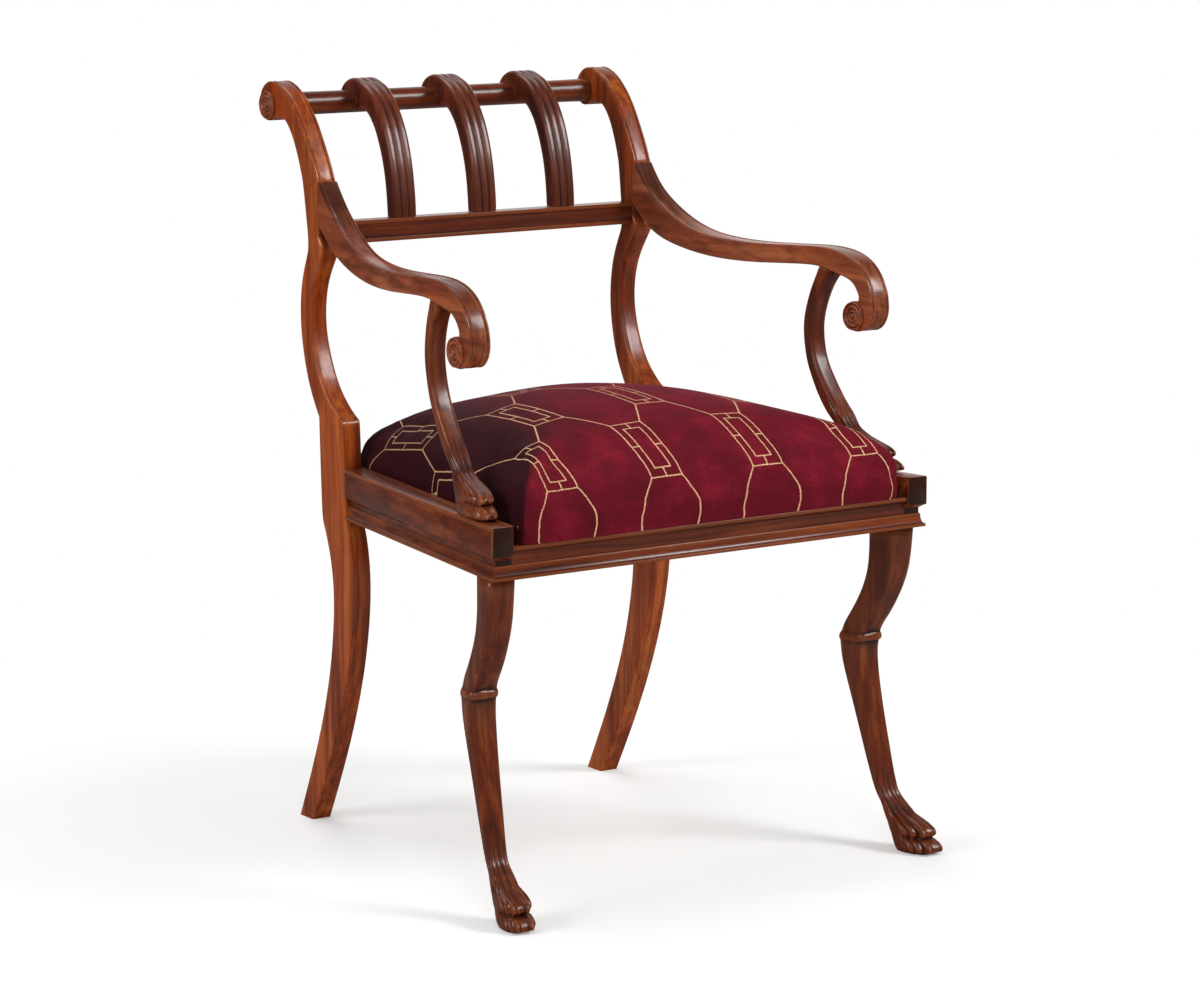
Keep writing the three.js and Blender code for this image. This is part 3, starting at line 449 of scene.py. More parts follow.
@dataclass(frozen=True)
class WovenJute:
    """Coarse plain weave of the webbing."""

    yarn: float = 2.6
    unevenness: float = 0.4
    hairs_per_metre: float = 700.0
    stops: Triple = (0.3, 0.5, 0.7)
    tones: tuple[str, ...] = ("7a5a34", "a58458", "c4a677")
    gap: str = "5d4124"

    def material(self, name: str) -> bpy.types.Material:
        """Draws crossing yarns with painted shade in the gaps between them, each with its own tone, and
        stray hairs.

        Args:
            name: The material's name.

        Returns:
            The material.
        """
        shade = Shade(name)
        scale = 1.0 / (self.yarn * MM * math.pi)
        turns = {"Vector": shade.place, "Scale": scale, "Distortion": self.unevenness}
        yarns = [shade.node("TexWave", turns, bands_direction=axis).outputs["Fac"] for axis in "XY"]
        weave = shade.fold("MAXIMUM", *yarns)
        hairs = shade.noise(shade.place, self.hairs_per_metre, detail=6.0)
        colour = shade.ramp(hairs, *zip(self.stops, self.tones))
        # Painted shade: the gaps between the yarns darken towards the gap colour.
        colour = shade.blend(shade.spread(weave, 0.2, 0.6, 0.7, 0.0), colour, linear(self.gap))
        return shade.finish(colour, 0.92, weave, lift=0.5, strength=0.7)


@dataclass(frozen=True)
class LatticeVelvet:
    """Burgundy pile crossed by a gold lattice of fretted boxes, set out on the flat cloth.

    Painted shade darkens the pile where the seat turns away from its lit side and towards the
    left, and the thread shows less firmly towards the back.
    """

    pitch: Pair = (139.0, 300.0)
    start: Pair = (-64.0, -236.5)
    box_half: Pair = (20.5, 49.5)
    heart_half: Pair = (10.6, 36.0)
    thread: float = 0.9
    wobble: float = 1.6
    wobbles_per_metre: float = 160.0
    stitches_per_metre: float = 950.0
    crushes_per_metre: float = 24.0
    tufts_per_metre: float = 420.0
    pitches_moved: int = 40
    nap: Triple = (0.75, -0.62, 0.08)
    nap_turn: float = 1.1
    laid_over: Four = (-0.36, 0.08, 0.88, 0.0)
    laid_bare: Four = (-140.0, 20.0, 0.95, 0.6)
    stops: Triple = (0.32, 0.5, 0.7)
    pile: tuple[str, ...] = ("4c0614", "67091c", "8a142c")
    gold: tuple[str, ...] = ("a5683f", "dfae80", "f6d7ae")
    shadow: str = "1c0309"
    sheen: str = "c8486a"

    def repeat(self, shade: Shade, value: Socket, pitch: float, start: float) -> Socket:
        """Distance from the nearest repeat of a line.

        Args:
            shade: The material.
            value: The place across the lines.
            pitch: How far apart the lines lie.
            start: Where one of them lies.

        Returns:
            The distance, in millimetres as all others on the cloth.
        """
        moved = shade.plus(value, pitch / 2 - start, self.pitches_moved * pitch)
        return shade.fold("ABSOLUTE", shade.minus(shade.fold("MODULO", moved, pitch), pitch / 2))

    def rim(self, shade: Shade, spot: tuple[Socket, ...], half: Pair) -> Socket:
        """Distance from the outline of an upright box, given by its half sizes."""
        gaps = [shade.minus(value, edge) for value, edge in zip(spot, half)]
        return shade.fold("ABSOLUTE", shade.fold("MAXIMUM", *gaps))

    def leash(self, shade: Shade, spot: tuple[Socket, ...], start: Pair, end: Pair) -> Socket:
        """Distance from a straight thread.

        Args:
            shade: The material.
            spot: The place on the cloth.
            start: The thread's one end.
            end: Its other end.

        Returns:
            The distance.
        """
        run = [last - first for first, last in zip(start, end)]
        square = run[0] ** 2 + run[1] ** 2
        gaps = [shade.minus(value, first) for value, first in zip(spot, start)]
        along = shade.plus(*(shade.times(gap, way / square) for gap, way in zip(gaps, run)))
        held = shade.fold("MINIMUM", shade.fold("MAXIMUM", along, 0.0), 1.0)
        rest = [shade.minus(gap, shade.times(held, way)) for gap, way in zip(gaps, run)]
        return shade.fold("SQRT", shade.plus(*(shade.times(side, side) for side in rest)))

    def motif(self, shade: Shade, spot: tuple[Socket, ...], start: Pair) -> list[Socket]:
        """Distances from one set of boxes, their hearts and ticks, and the threads that leave their corners.

        Args:
            shade: The material.
            spot: The place on the cloth.
            start: The middle of one of the boxes.

        Returns:
            The distances.
        """
        near = tuple(self.repeat(shade, *row) for row in zip(spot, self.pitch, start))
        corner = tuple(pitch / 2 - half for pitch, half in zip(self.pitch, self.box_half))
        return [
            self.rim(shade, near, self.box_half),
            self.rim(shade, near, self.heart_half),
            self.leash(shade, near, (self.heart_half[0], 0.0), (self.box_half[0], 0.0)),
            self.leash(shade, near, (0.0, self.heart_half[1]), (0.0, self.box_half[1])),
            self.leash(shade, near, self.box_half, corner),
        ]

    def lattice(self, shade: Shade) -> tuple[Socket, Socket]:
        """Lays out the gold thread on the flat cloth, with the small wobble of a hand.

        Args:
            shade: The material.

        Returns:
            Where the thread lies, from 0 to 1, and how firmly it shows from front to back.
        """
        flat = shade.node("UVMap", uv_map="cloth").outputs["UV"]
        wander = shade.wander(shade.place, self.wobbles_per_metre, detail=2.0)
        wander = shade.vector("SUBTRACT", wander, (0.5, 0.5, 0.5))
        shift = shade.vector("MULTIPLY", wander, (self.wobble * MM, self.wobble * MM, 0.0))
        laid = shade.vector("MULTIPLY", shade.vector("ADD", flat, shift), (1 / MM, 1 / MM, 0.0))
        spot = (shade.part(laid, "X"), shade.part(laid, "Y"))
        between = tuple(start + pitch / 2 for start, pitch in zip(self.start, self.pitch))
        gaps = [*self.motif(shade, spot, self.start), *self.motif(shade, spot, between)]
        nearest = shade.fold("MINIMUM", *gaps)
        thread = shade.spread(nearest, self.thread * 0.7, self.thread * 1.25, 1.0, 0.0)
        return thread, shade.spread(spot[1], *self.laid_bare)

    def material(self, name: str) -> bpy.types.Material:
        """Draws crushed pile and the laid gold thread.

        Args:
            name: The material's name.

        Returns:
            The material.
        """
        shade = Shade(name)
        thread, firm = self.lattice(shade)
        stitch = shade.noise(shade.place, self.stitches_per_metre, detail=2.0)
        crush = shade.noise(shade.place, self.crushes_per_metre, detail=6.0, rough=0.65)
        tufts = shade.noise(shade.place, self.tufts_per_metre, detail=4.0, rough=0.6)
        tone = shade.plus(shade.times(crush, 0.6), shade.times(tufts, 0.4))
        colour = shade.ramp(tone, *zip(self.stops, self.pile))
        # Painted shade: the pile darkens towards the shadow colour where the seat faces away from the lit
        # way and towards the left.
        facing = shade.measure("DOT_PRODUCT", shade.node("NewGeometry").outputs["Normal"], self.nap)
        shade_lean = shade.times(shade.part(shade.place, "X"), self.nap_turn)
        over = shade.spread(shade.plus(facing, shade_lean), *self.laid_over)
        colour = shade.blend(over, colour, linear(self.shadow))
        gold = shade.ramp(stitch, *zip(self.stops, self.gold))
        colour = shade.blend(shade.times(thread, firm), colour, gold)
        rough = shade.spread(thread, 0.0, 1.0, 0.82, 0.55)
        height = shade.plus(shade.times(thread, 0.8), shade.times(tufts, 0.2))
        shade.fix({"Sheen Weight": 0.12, "Sheen Roughness": 0.32, "Sheen Tint": linear(self.sheen)})
        shade.fix({"Specular IOR Level": 0.12})
        return shade.finish(colour, rough, height, lift=0.6, strength=0.5)


@contextmanager
def edited(mesh: bpy.types.Mesh) -> Iterator[bmesh.types.BMesh]:
    """Opens a mesh for editing and writes it back at the end.

    Args:
        mesh: The mesh.

    Yields:
        Its points, edges and faces.
    """
    work = bmesh.new()
    work.from_mesh(mesh)
    yield work
    work.to_mesh(mesh)
    work.free()


def solid(node: str) -> bpy.types.Mesh:
    """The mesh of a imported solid."""
    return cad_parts[node].data


class Bench:
    """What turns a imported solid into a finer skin."""

    @staticmethod
    def placed(name: str, data: bpy.types.ID | None) -> bpy.types.Object:
        """Puts a mesh, curve, lamp or camera into the scene.

        Args:
            name: The new object's name.
            data: What it shows.

        Returns:
            The object, at the origin.
        """
        piece = bpy.data.objects.new(name, data)
        bpy.context.scene.collection.objects.link(piece)
        return piece

    @staticmethod
    def places(mesh: bpy.types.Mesh) -> np.ndarray:
        """A mesh's points.

        Args:
            mesh: The mesh.

        Returns:
            Rows of x, y and z.
        """
        flat = np.empty(len(mesh.vertices) * 3)
        mesh.vertices.foreach_get("co", flat)
        return flat.reshape(-1, 3)

    @staticmethod
    def move(mesh: bpy.types.Mesh, places: np.ndarray) -> None:
        """Moves a mesh's points to new places."""
        mesh.vertices.foreach_set("co", places.ravel())
        mesh.update()

    @staticmethod
    def welded(node: str, name: str, flat: float = 14.0, square: float = 80.0) -> bpy.types.Object:
        """A copy of a solid with its triangles joined to four-sided faces.

        Args:
            node: The solid's name.
            name: The new piece's name.
            flat: The turn in degrees up to which two triangles lie in one face.
            square: How far in degrees such a face may be from a rectangle.

        Returns:
            The copy, at the origin.
        """
        mesh = bpy.data.meshes.new(name)
        limits = {"angle_face_threshold": math.radians(flat), "angle_shape_threshold": math.radians(square)}
        work = bmesh.new()
        work.from_mesh(solid(node))
        bmesh.ops.remove_doubles(work, verts=work.verts, dist=WELD)
        bmesh.ops.dissolve_degenerate(work, edges=work.edges, dist=WELD)
        bmesh.ops.join_triangles(work, faces=work.faces, **limits)
        work.to_mesh(mesh)
        work.free()
        return Bench.placed(name, mesh)

    @staticmethod
    def baked(piece: bpy.types.Object) -> bpy.types.Object:
        """Turns a piece and its modifiers into a plain mesh.

        Args:
            piece: The piece.

        Returns:
            The same piece, without modifiers.
        """
        graph = bpy.context.evaluated_depsgraph_get()
        graph.update()
        mesh = bpy.data.meshes.new_from_object(piece.evaluated_get(graph))
        piece.modifiers.clear()
        piece.data = mesh
        mesh.name = piece.name
        return piece

    @staticmethod
    def crease(piece: bpy.types.Object, limit: float, banded: bool, end_limit: float = 40.0) -> None:
        """Holds sharp edges against smoothing.

        Args:
            piece: The coarse piece.
            limit: The turn in degrees from which an edge is held.
            banded: Whether the piece is a band whose cross edges go by a limit of their own.
            end_limit: That limit, in degrees.
        """
        with edited(piece.data) as work:
            layer = work.edges.layers.float.get("crease_edge") or work.edges.layers.float.new("crease_edge")
            for edge in work.edges:
                way = (edge.verts[1].co - edge.verts[0].co).normalized()
                held = end_limit if banded and abs(way.x) > 0.9 else limit
                if len(edge.link_faces) == 2 and edge.calc_face_angle(0.0) > math.radians(held):
                    edge[layer] = 1.0

    @staticmethod
    def rounded(
        piece: bpy.types.Object, levels: int, limit: float, tries: int = 0, banded: bool = False
    ) -> bpy.types.Object:
        """Smooths a piece's run while its held edges stay.

        Args:
            piece: The coarse piece.
            levels: How often each face is parted.
            limit: The turn in degrees from which an edge is held.
            tries: How often the piece is set out afresh, to end on its own points.
            banded: Whether the piece is a band bent along its run.

        Returns:
            The smooth piece.
        """
        Bench.crease(piece, limit, banded)
        smooth = piece.modifiers.new("round", "SUBSURF")
        smooth.levels = smooth.render_levels = 1
        mesh = piece.data
        wanted = Bench.places(mesh)
        graph = bpy.context.evaluated_depsgraph_get()
        for _ in range(tries):
            graph.update()
            reached = Bench.places(piece.evaluated_get(graph).data)[: len(wanted)]
            Bench.move(mesh, Bench.places(mesh) + wanted - reached)
        smooth.levels = smooth.render_levels = levels
        return Bench.baked(piece)

    @staticmethod
    def eased(piece: bpy.types.Object, width: float, limit: float = 35.0) -> bpy.types.Object:
        """Takes the sharpness off a piece's edges.

        Args:
            piece: The piece.
            width: How much comes off, in millimetres.
            limit: The turn in degrees from which an edge is eased.

        Returns:
            The same piece.
        """
        ease = piece.modifiers.new("ease", "BEVEL")
        ease.width = width * MM
        ease.segments = 2
        ease.limit_method = "ANGLE"
        ease.angle_limit = math.radians(limit)
        ease.use_clamp_overlap = True
        ease.harden_normals = False
        return Bench.baked(piece)

    @staticmethod
    def smooth(piece: bpy.types.Object, limit: float = 38.0) -> None:
        """Shades a piece smooth up to a turn in degrees."""
        piece.data.shade_smooth()
        piece.data.set_sharp_from_angle(angle=math.radians(limit))

    @staticmethod
    def bends(mesh: bpy.types.Mesh, passes: int) -> np.ndarray:
        """How much the surface bends at each point.

        Args:
            mesh: The mesh.
            passes: How often each point is blended with its neighbours.

        Returns:
            A number for each point, above 0 in a hollow and below 0 on an edge.
        """
        count = len(mesh.vertices)
        places = Bench.places(mesh)
        normals = np.empty(count * 3)
        mesh.vertex_normals.foreach_get("vector", normals)
        normals = normals.reshape(-1, 3)
        pairs = np.empty(len(mesh.edges) * 2, dtype=np.int64)
        mesh.edges.foreach_get("vertices", pairs)
        first, second = pairs.reshape(-1, 2).T
        step = places[second] - places[first]
        step /= (np.linalg.norm(step, axis=1) + TINY)[:, None]
        shares = np.maximum(np.bincount(first, minlength=count) + np.bincount(second, minlength=count), 1)
        ahead = (normals[first] * step).sum(1)
        behind = -(normals[second] * step).sum(1)
        bend = (np.bincount(first, ahead, count) + np.bincount(second, behind, count)) / shares
        for _ in range(passes):
            around = np.bincount(first, bend[second], count) + np.bincount(second, bend[first], count)
            bend = 0.5 * bend + 0.5 * around / shares
        return bend

    @staticmethod
    def relief(piece: bpy.types.Object, passes: int, gain: float, broad: float = 0.0) -> None:
        """Writes how hollow each corner lies, from 0 on an edge over 0.5 on a flat to 1 in a hollow.

        Args:
            piece: The finished skin.
            passes: How often each point is blended with its neighbours.
            gain: How strongly a bend counts.
            broad: The mean width in millimetres from which a face counts as flat, or 0 for none.
        """
        mesh = piece.data
        places = Bench.places(mesh)
        value = np.clip(0.5 + gain * Bench.bends(mesh, passes), 0, 1).astype(np.float32)
        corners = np.empty(len(mesh.loops), dtype=np.int64)
        mesh.loops.foreach_get("vertex_index", corners)
        corner_relief = value[corners]
        for face in mesh.polygons if broad else ():
            rim = sum(math.dist(places[a], places[b]) for a, b in face.edge_keys)
            if 2 * face.area > broad * MM * rim:
                corner_relief[face.loop_start : face.loop_start + face.loop_total] = 0.5
        # The timber paints shade in hollows from this value, and lightens edges partly as rubbed wear and
        # partly as painted highlight.
        mesh.attributes.new("relief", "FLOAT", "CORNER").data.foreach_set("value", corner_relief)

    @staticmethod
    def dress(
        piece: bpy.types.Object, material: bpy.types.Material, body: str, slot: str, *nodes: str
    ) -> None:
        """Gives a piece its finish, and says where it belongs.

        Args:
            piece: The finished skin.
            material: Its finish.
            body: The body that it moves with.
            slot: Passed on, and not used.
            nodes: The solids that it stands for.
        """
        piece.data.materials.clear()
        piece.data.materials.append(material)
        Bench.settle(piece, body, slot, *nodes)

    @staticmethod
    def settle(piece: bpy.types.Object, body: str, slot: str, *nodes: str) -> None:
        """Says where a piece belongs, and reports it.

        Args:
            piece: The dressed piece.
            body: The body that it moves with.
            slot: Not used.
            nodes: The solids that it stands for.
        """
        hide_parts(*nodes)
        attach(piece, body)
        LOG.info("%s: %d faces", piece.name, len(piece.data.polygons))


@dataclass
class Member:
    """One polished member of the frame, skinned over its own solid.

    Edges that turn by more degrees than are held stay sharp while the rest is rounded, and a
    member without levels keeps its flats.
    """

    node: str
    board: Board
    grain: Grain
    cut: int
    levels: int = 2
    ease: float = 0.5
    held: float = 18.0
    banded: bool = True
    end_grain: float = 0.3
    wear: float = 2.4
    worn_width: float = 4.0
    heart: Four | None = None

    def build(self) -> bpy.types.Object:
        """Makes the finer skin.

        Returns:
            The skin, smooth along its run and eased along its edges.
        """
        piece = Bench.welded(self.node, f"{self.node}_polished")
        if self.levels:
            piece = Bench.rounded(piece, self.levels, self.held, banded=self.banded)
        piece = Bench.eased(piece, self.ease)
        Bench.smooth(piece)
        Bench.relief(piece, passes=2, gain=self.wear, broad=0.0 if self.levels else self.worn_width)
        return piece

    def dress(self) -> None:
        """Builds the skin and gives it its timber."""
        timber = PolishedMahogany(self.board, self.grain, self.cut, self.end_grain, self.heart)
        Bench.dress(self.build(), timber.material(f"mahogany_{self.node}"), "frame", "mahogany", self.node)


def mound(rise: np.ndarray, middle: float, width: float) -> np.ndarray:
    """A rounded mound over a height, 1 at its middle."""
    return np.exp(-(((rise - middle) / width) ** 2))


@dataclass
class CarvedLimb:
    """A leg or an arm support whose foot is carved as a paw.

    Heights on the paw are shares of its own height, each with a width where something swells
    or is drawn in there. Turns are degrees from the middle of its front.
    """

    node: str
    board: Board
    cut: int
    floor: float
    paw_height: float
    valley: float = 3.3
    knuckle: float = 1.7
    crease: float = 2.6
    wrist: float = 0.9
    knuckle_at: Pair = (0.58, 0.12)
    nail_at: Pair = (0.15, 0.1)
    nail_share: float = 0.6
    crease_at: Pair = (0.365, 0.045)
    wrist_at: Pair = (0.79, 0.05)
    front_turn: float = 96.0
    front_fade: float = 18.0
    reach: float = 1.9
    reach_fade: float = 0.2
    sole_edge: float = 0.4
    sole_band: float = 1.5
    toe_turns: tuple[float, ...] = (0.0, 30.0, 62.0, 98.0)
    grooves: Run = ((0, 0.1, 0.3, 0.38, 0.5, 0.72, 0.84, 0.95), (0.85, 1, 1, 0.9, 1, 0.95, 0.5, 0.35))
    tendons: Run = ((0.72, 0.84, 1.2, 1.75), (0, 0.5, 0.42, 0))
    levels: int = 2
    held: float = 50.0
    wear: float = 3.6
    foot_reach: float = 3.0
    foot_points: int = 20
    ring_points: int = 12
    ring_band: float = 0.3
    fuller: tuple[Pair, ...] = ()

    def stations(self) -> np.ndarray:
        """Reads the foot's sections from the solid.

        Returns:
            Rows of height, middle x, middle y, half width and half depth, in millimetres.
        """
        places = Bench.places(solid(self.node)) / MM
        heights = np.round(places[:, 2], 2)
        rows = []
        for height in np.unique(heights):
            ring = np.unique(places[heights == height].round(3), axis=0)
            if height < self.floor + self.foot_reach * self.paw_height and len(ring) >= self.foot_points:
                low, high = ring.min(0), ring.max(0)
                rows.append([height, *(low + high)[:2] / 2, *(high - low)[:2] / 2])
        return np.array(rows)

    def depth(self, rise: np.ndarray, aside: np.ndarray) -> np.ndarray:
        """How deep the carver cuts at each point.

        Args:
            rise: The points' heights on the paw.
            aside: How far in degrees they lie from its front.

        Returns:
            The depths in millimetres, below 0 where a knuckle swells.
        """
        toe = np.interp(aside, self.toe_turns, np.arange(len(self.toe_turns)))
        across = np.abs(np.mod(toe, 1) * 2 - 1)
        groove = 1 - np.sqrt(np.clip(1 - (0.985 * across) ** 2, 0, 1))
        groove *= np.where(rise > self.grooves[0][-1], 0, np.interp(rise, *self.grooves))
        flute = (0.5 - 0.5 * np.cos(math.pi * across**1.6)) * np.interp(rise, *self.tendons)
        crown = np.sqrt(np.clip(1 - across**2, 0, 1))
        swell = mound(rise, *self.knuckle_at) + self.nail_share * mound(rise, *self.nail_at)
        pinch = self.crease * mound(rise, *self.crease_at) + self.wrist * mound(rise, *self.wrist_at)
        return self.valley * (groove + flute) + pinch - self.knuckle * swell * crown

    def carve(self, piece: bpy.types.Object) -> None:
        """Cuts toes, knuckles and tendons into the front of the foot.

        Args:
            piece: The limb.
        """
        places = Bench.places(piece.data) / MM
        rows = self.stations()
        middle, half = (
            np.stack([np.interp(places[:, 2], rows[:, 0], rows[:, column]) for column in columns], 1)
            for columns in ((1, 2), (3, 4)))
        away = (places[:, :2] - middle) / half
        aside = np.abs(np.degrees(np.arctan2(-away[:, 1], away[:, 0])) - 90)
        rise = (places[:, 2] - self.floor) / self.paw_height
        front = np.clip((self.front_turn - aside) / self.front_fade, 0, 1)
        front = front * front * (3 - 2 * front)
        fade = np.clip((self.reach - rise) / self.reach_fade, 0, 1)
        drop = self.depth(rise, aside) * front * fade * (places[:, 2] > self.floor + self.sole_edge)
        inward = away * half
        inward /= np.linalg.norm(inward, axis=1)[:, None] + TINY
        places[:, :2] -= inward * drop[:, None]
        sole = np.abs(places[:, 2] - self.floor) < self.sole_band
        places[sole, 2] = np.maximum(places[sole, 2], self.floor)
        Bench.move(piece.data, places * MM)

    def fill_out(self, piece: bpy.types.Object) -> None:
        """Lets the limb swell by the shares that belong to its heights.

        Args:
            piece: The limb.
        """
        if not self.fuller:
            return
        places = Bench.places(piece.data)
        heights = np.round(places[:, 2], 5)
        rows = []
        for level in np.unique(Bench.places(solid(self.node))[:, 2].round(5)):
            ring = places[np.abs(heights - level) < self.ring_band * MM]
            if len(ring) >= self.ring_points:
                rows.append((level, *(ring.min(0) + ring.max(0))[:2] / 2))
        table = np.array(rows)
        share = np.interp(places[:, 2] / MM, *np.array(self.fuller).T)
        for axis in (0, 1):
            middle = np.interp(places[:, 2], table[:, 0], table[:, 1 + axis])
            places[:, axis] = middle + (places[:, axis] - middle) * share
        Bench.move(piece.data, places)

    def part_foot(self, piece: bpy.types.Object) -> None:
        """Parts the faces of the foot once more for the carver.

        Args:
            piece: The limb.
        """
        limit = (self.floor + self.reach * self.paw_height) * MM
        with edited(piece.data) as work:
            foot = [face for face in work.faces if face.calc_center_median().z < limit]
            edges = {edge for face in foot for edge in face.edges}
            bmesh.ops.subdivide_edges(work, edges=list(edges), cuts=1, use_grid_fill=True, smooth=0.0)

    def dress(self) -> None:
        """Builds the limb, carves it and gives it its timber."""
        coarse = Bench.welded(self.node, f"{self.node}_carved")
        piece = Bench.rounded(coarse, self.levels, self.held, tries=3)
        self.fill_out(piece)
        self.part_foot(piece)
        self.carve(piece)
        Bench.smooth(piece, limit=60.0)
        Bench.relief(piece, passes=5, gain=self.wear)
        timber = PolishedMahogany(self.board, Grain.UPRIGHT, self.cut)
        Bench.dress(piece, timber.material(f"mahogany_{self.node}"), "frame", "mahogany", self.node)


class Grower(Wiring):
    """A geometry node tree with named inputs, whose result is kept as a plain mesh."""

    def __init__(self, name: str) -> None:
        """Starts a tree with a geometry input and output.

        Args:
            name: The tree's name.
        """
        super().__init__(bpy.data.node_groups.new(name, "GeometryNodeTree"))
        for way in ("INPUT", "OUTPUT"):
            self.tree.interface.new_socket("Geometry", in_out=way, socket_type="NodeSocketGeometry")
        self.start = self.tree.nodes.new("NodeGroupInput")
        self.end = self.tree.nodes.new("NodeGroupOutput")
        self.names: dict[str, str] = {}

    def size(self, name: str) -> Socket:
        """Adds a named input.

        Args:
            name: The size's name.

        Returns:
            Its socket.
        """
        made = self.tree.interface.new_socket(name, in_out="INPUT", socket_type="NodeSocketFloat")
        self.names[name] = made.identifier
        return next(socket for socket in self.start.outputs if socket.identifier == made.identifier)

    def close(self, geometry: Socket, material: bpy.types.Material) -> None:
        """Ends the tree in real geometry with its finish.

        Args:
            geometry: What has grown.
            material: Its finish.
        """
        real = self.node("GeometryNodeRealizeInstances", {"Geometry": geometry})
        made = self.node("GeometryNodeSetMaterial", {"Geometry": real.outputs[0], "Material": material})
        self.tree.links.new(made.outputs[0], self.end.inputs[0])

    def grow(self, name: str, start: bpy.types.ID, sizes: dict[str, float]) -> bpy.types.Object:
        """Runs the tree on a mesh or a curve.

        Args:
            name: The new piece's name.
            start: The mesh or the curve.
            sizes: The tree's sizes, in metres or as counts.

        Returns:
            The new piece.
        """
        carrier = Bench.placed(f"{name}_carrier", start)
        grower = carrier.modifiers.new(self.tree.name, "NODES")
        grower.node_group = self.tree
        for size, value in sizes.items():
            grower[self.names[size]] = value
        graph = bpy.context.evaluated_depsgraph_get()
        mesh = bpy.data.meshes.new_from_object(carrier.evaluated_get(graph))
        bpy.data.objects.remove(carrier)
        return Bench.placed(name, mesh)


@dataclass
class TurnedRosettes:
    """Concentric turned rosettes on the crest ends and the arm scrolls."""

    places: tuple[str, ...] = ("crest_rosette", "arm_outer_rosette", "arm_inner_rosette")
    radius: float = 16.4
    height: float = 5.4
    rows: int = 54
    spokes: int = 48
    face_share: float = 0.9
    weld: float = 0.001
    cut: int = 31
    end_grain: float = 0.1
    wear: float = 1.3
    profile: tuple[Pair, ...] = (
        (0.0, 1.0), (0.09, 0.98), (0.15, 0.84), (0.19, 0.5), (0.235, 0.46), (0.27, 0.55),
        (0.34, 0.66), (0.42, 0.6), (0.47, 0.36), (0.51, 0.34), (0.55, 0.55), (0.65, 0.74),
        (0.76, 0.66), (0.81, 0.4), (0.84, 0.36), (0.87, 0.5), (0.95, 0.62), (1.0, 0.5),
    )

    def turned(self, tree: Grower) -> Socket:
        """Lays a grid of rows and spokes round the axis, at the heights of the turned profile.

        Args:
            tree: The tree that is being drawn.

        Returns:
            One rosette, face up.
        """
        radius, height = tree.size("Radius"), tree.size("Height")
        counts = {"Vertices X": self.rows + 1, "Vertices Y": self.spokes + 1}
        grid = tree.node("GeometryNodeMeshGrid", {"Size X": 1.0, "Size Y": 1.0, **counts})
        place = tree.node("GeometryNodeInputPosition").outputs[0]
        along = tree.plus(tree.part(place, "X"), 0.5)
        angle = tree.times(tree.plus(tree.part(place, "Y"), 0.5), 2 * math.pi)
        rim = tree.fold("MINIMUM", tree.fold("DIVIDE", along, self.face_share), 1.0)
        wall = tree.fold("DIVIDE", tree.minus(along, self.face_share), 1 - self.face_share)
        wall = tree.fold("MAXIMUM", wall, 0.0)
        curve = tree.node("FloatCurve", {"Value": rim})
        points = curve.mapping.curves[0].points
        for place, level in self.profile[1:-1]:
            points.new(place, level)
        points[0].location = self.profile[0]
        points[-1].location = self.profile[-1]
        curve.mapping.update()
        level = tree.times(curve.outputs[0], tree.minus(1.0, wall))
        reach = tree.times(rim, radius)
        across, deep = (tree.times(reach, tree.fold(way, angle)) for way in ("COSINE", "SINE"))
        spot = tree.node("CombineXYZ", {"X": across, "Y": deep, "Z": tree.times(level, height)})
        inputs = {"Geometry": grid.outputs["Mesh"], "Position": spot.outputs[0]}
        shaped = tree.node("GeometryNodeSetPosition", inputs).outputs[0]
        sealed = tree.node("GeometryNodeMergeByDistance", {"Geometry": shaped, "Distance": self.weld * MM})
        return sealed.outputs[0]

    def tree(self, material: bpy.types.Material) -> Grower:
        """Sets a rosette down on each point of the carrier, turned the way that the point faces.

        Args:
            material: The rosettes' finish.

        Returns:
            The tree.
        """
        tree = Grower("turned_rosette")
        rosette = self.turned(tree)
        facing = tree.node("GeometryNodeInputNamedAttribute", {"Name": "facing"}, data_type="FLOAT_VECTOR")
        inputs = {"Vector": facing.outputs["Attribute"]}
        turn = tree.node("FunctionNodeAlignRotationToVector", inputs, axis="Z").outputs[0]
        dots = tree.node("GeometryNodeMeshToPoints", {"Mesh": tree.start.outputs[0]}).outputs[0]
        inputs = {"Points": dots, "Instance": rosette, "Rotation": turn}
        tree.close(tree.node("GeometryNodeInstanceOnPoints", inputs).outputs[0], material)
        return tree

    def spots(self) -> list[tuple[np.ndarray, np.ndarray, str]]:
        """Finds the rosettes' places from their solids.

        Returns:
            Where each one stands, which way it faces and the solid that it stands for.
        """
        rows = []
        for side in Side:
            for place in self.places:
                node = f"{side.word}_{place}"
                points = Bench.places(solid(node))
                centre = points.mean(0)
                _, _, axes = np.linalg.svd(points - centre, full_matrices=False)
                outward = -side.value if "inner" in place else side.value
                way = axes[2] * np.sign(axes[2][0]) * outward
                low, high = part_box(node)
                middle = np.array((low + high) / 2)
                depth = ((points - centre) @ way).min() - (middle - centre) @ way
                rows.append((middle + way * depth, way, node))
        return rows

    def dress(self) -> None:
        """Grows the rosettes in one piece and gives them their timber."""
        seats, ways, nodes = zip(*self.spots())
        mesh = bpy.data.meshes.new("rosette_seats")
        mesh.from_pydata([tuple(seat) for seat in seats], [], [])
        facing = mesh.attributes.new("facing", "FLOAT_VECTOR", "POINT")
        facing.data.foreach_set("vector", np.array(ways, dtype=np.float32).ravel())
        finish = PolishedMahogany(Board.CHESTNUT, Grain.ACROSS, self.cut, self.end_grain)
        timber = finish.material("mahogany_rosettes")
        sizes = {"Radius": self.radius * MM, "Height": self.height * MM}
        piece = self.tree(timber).grow("turned_rosettes", mesh, sizes)
        Bench.smooth(piece, limit=60.0)
        Bench.relief(piece, passes=3, gain=self.wear)
        Bench.dress(piece, timber, "frame", "mahogany", *nodes)


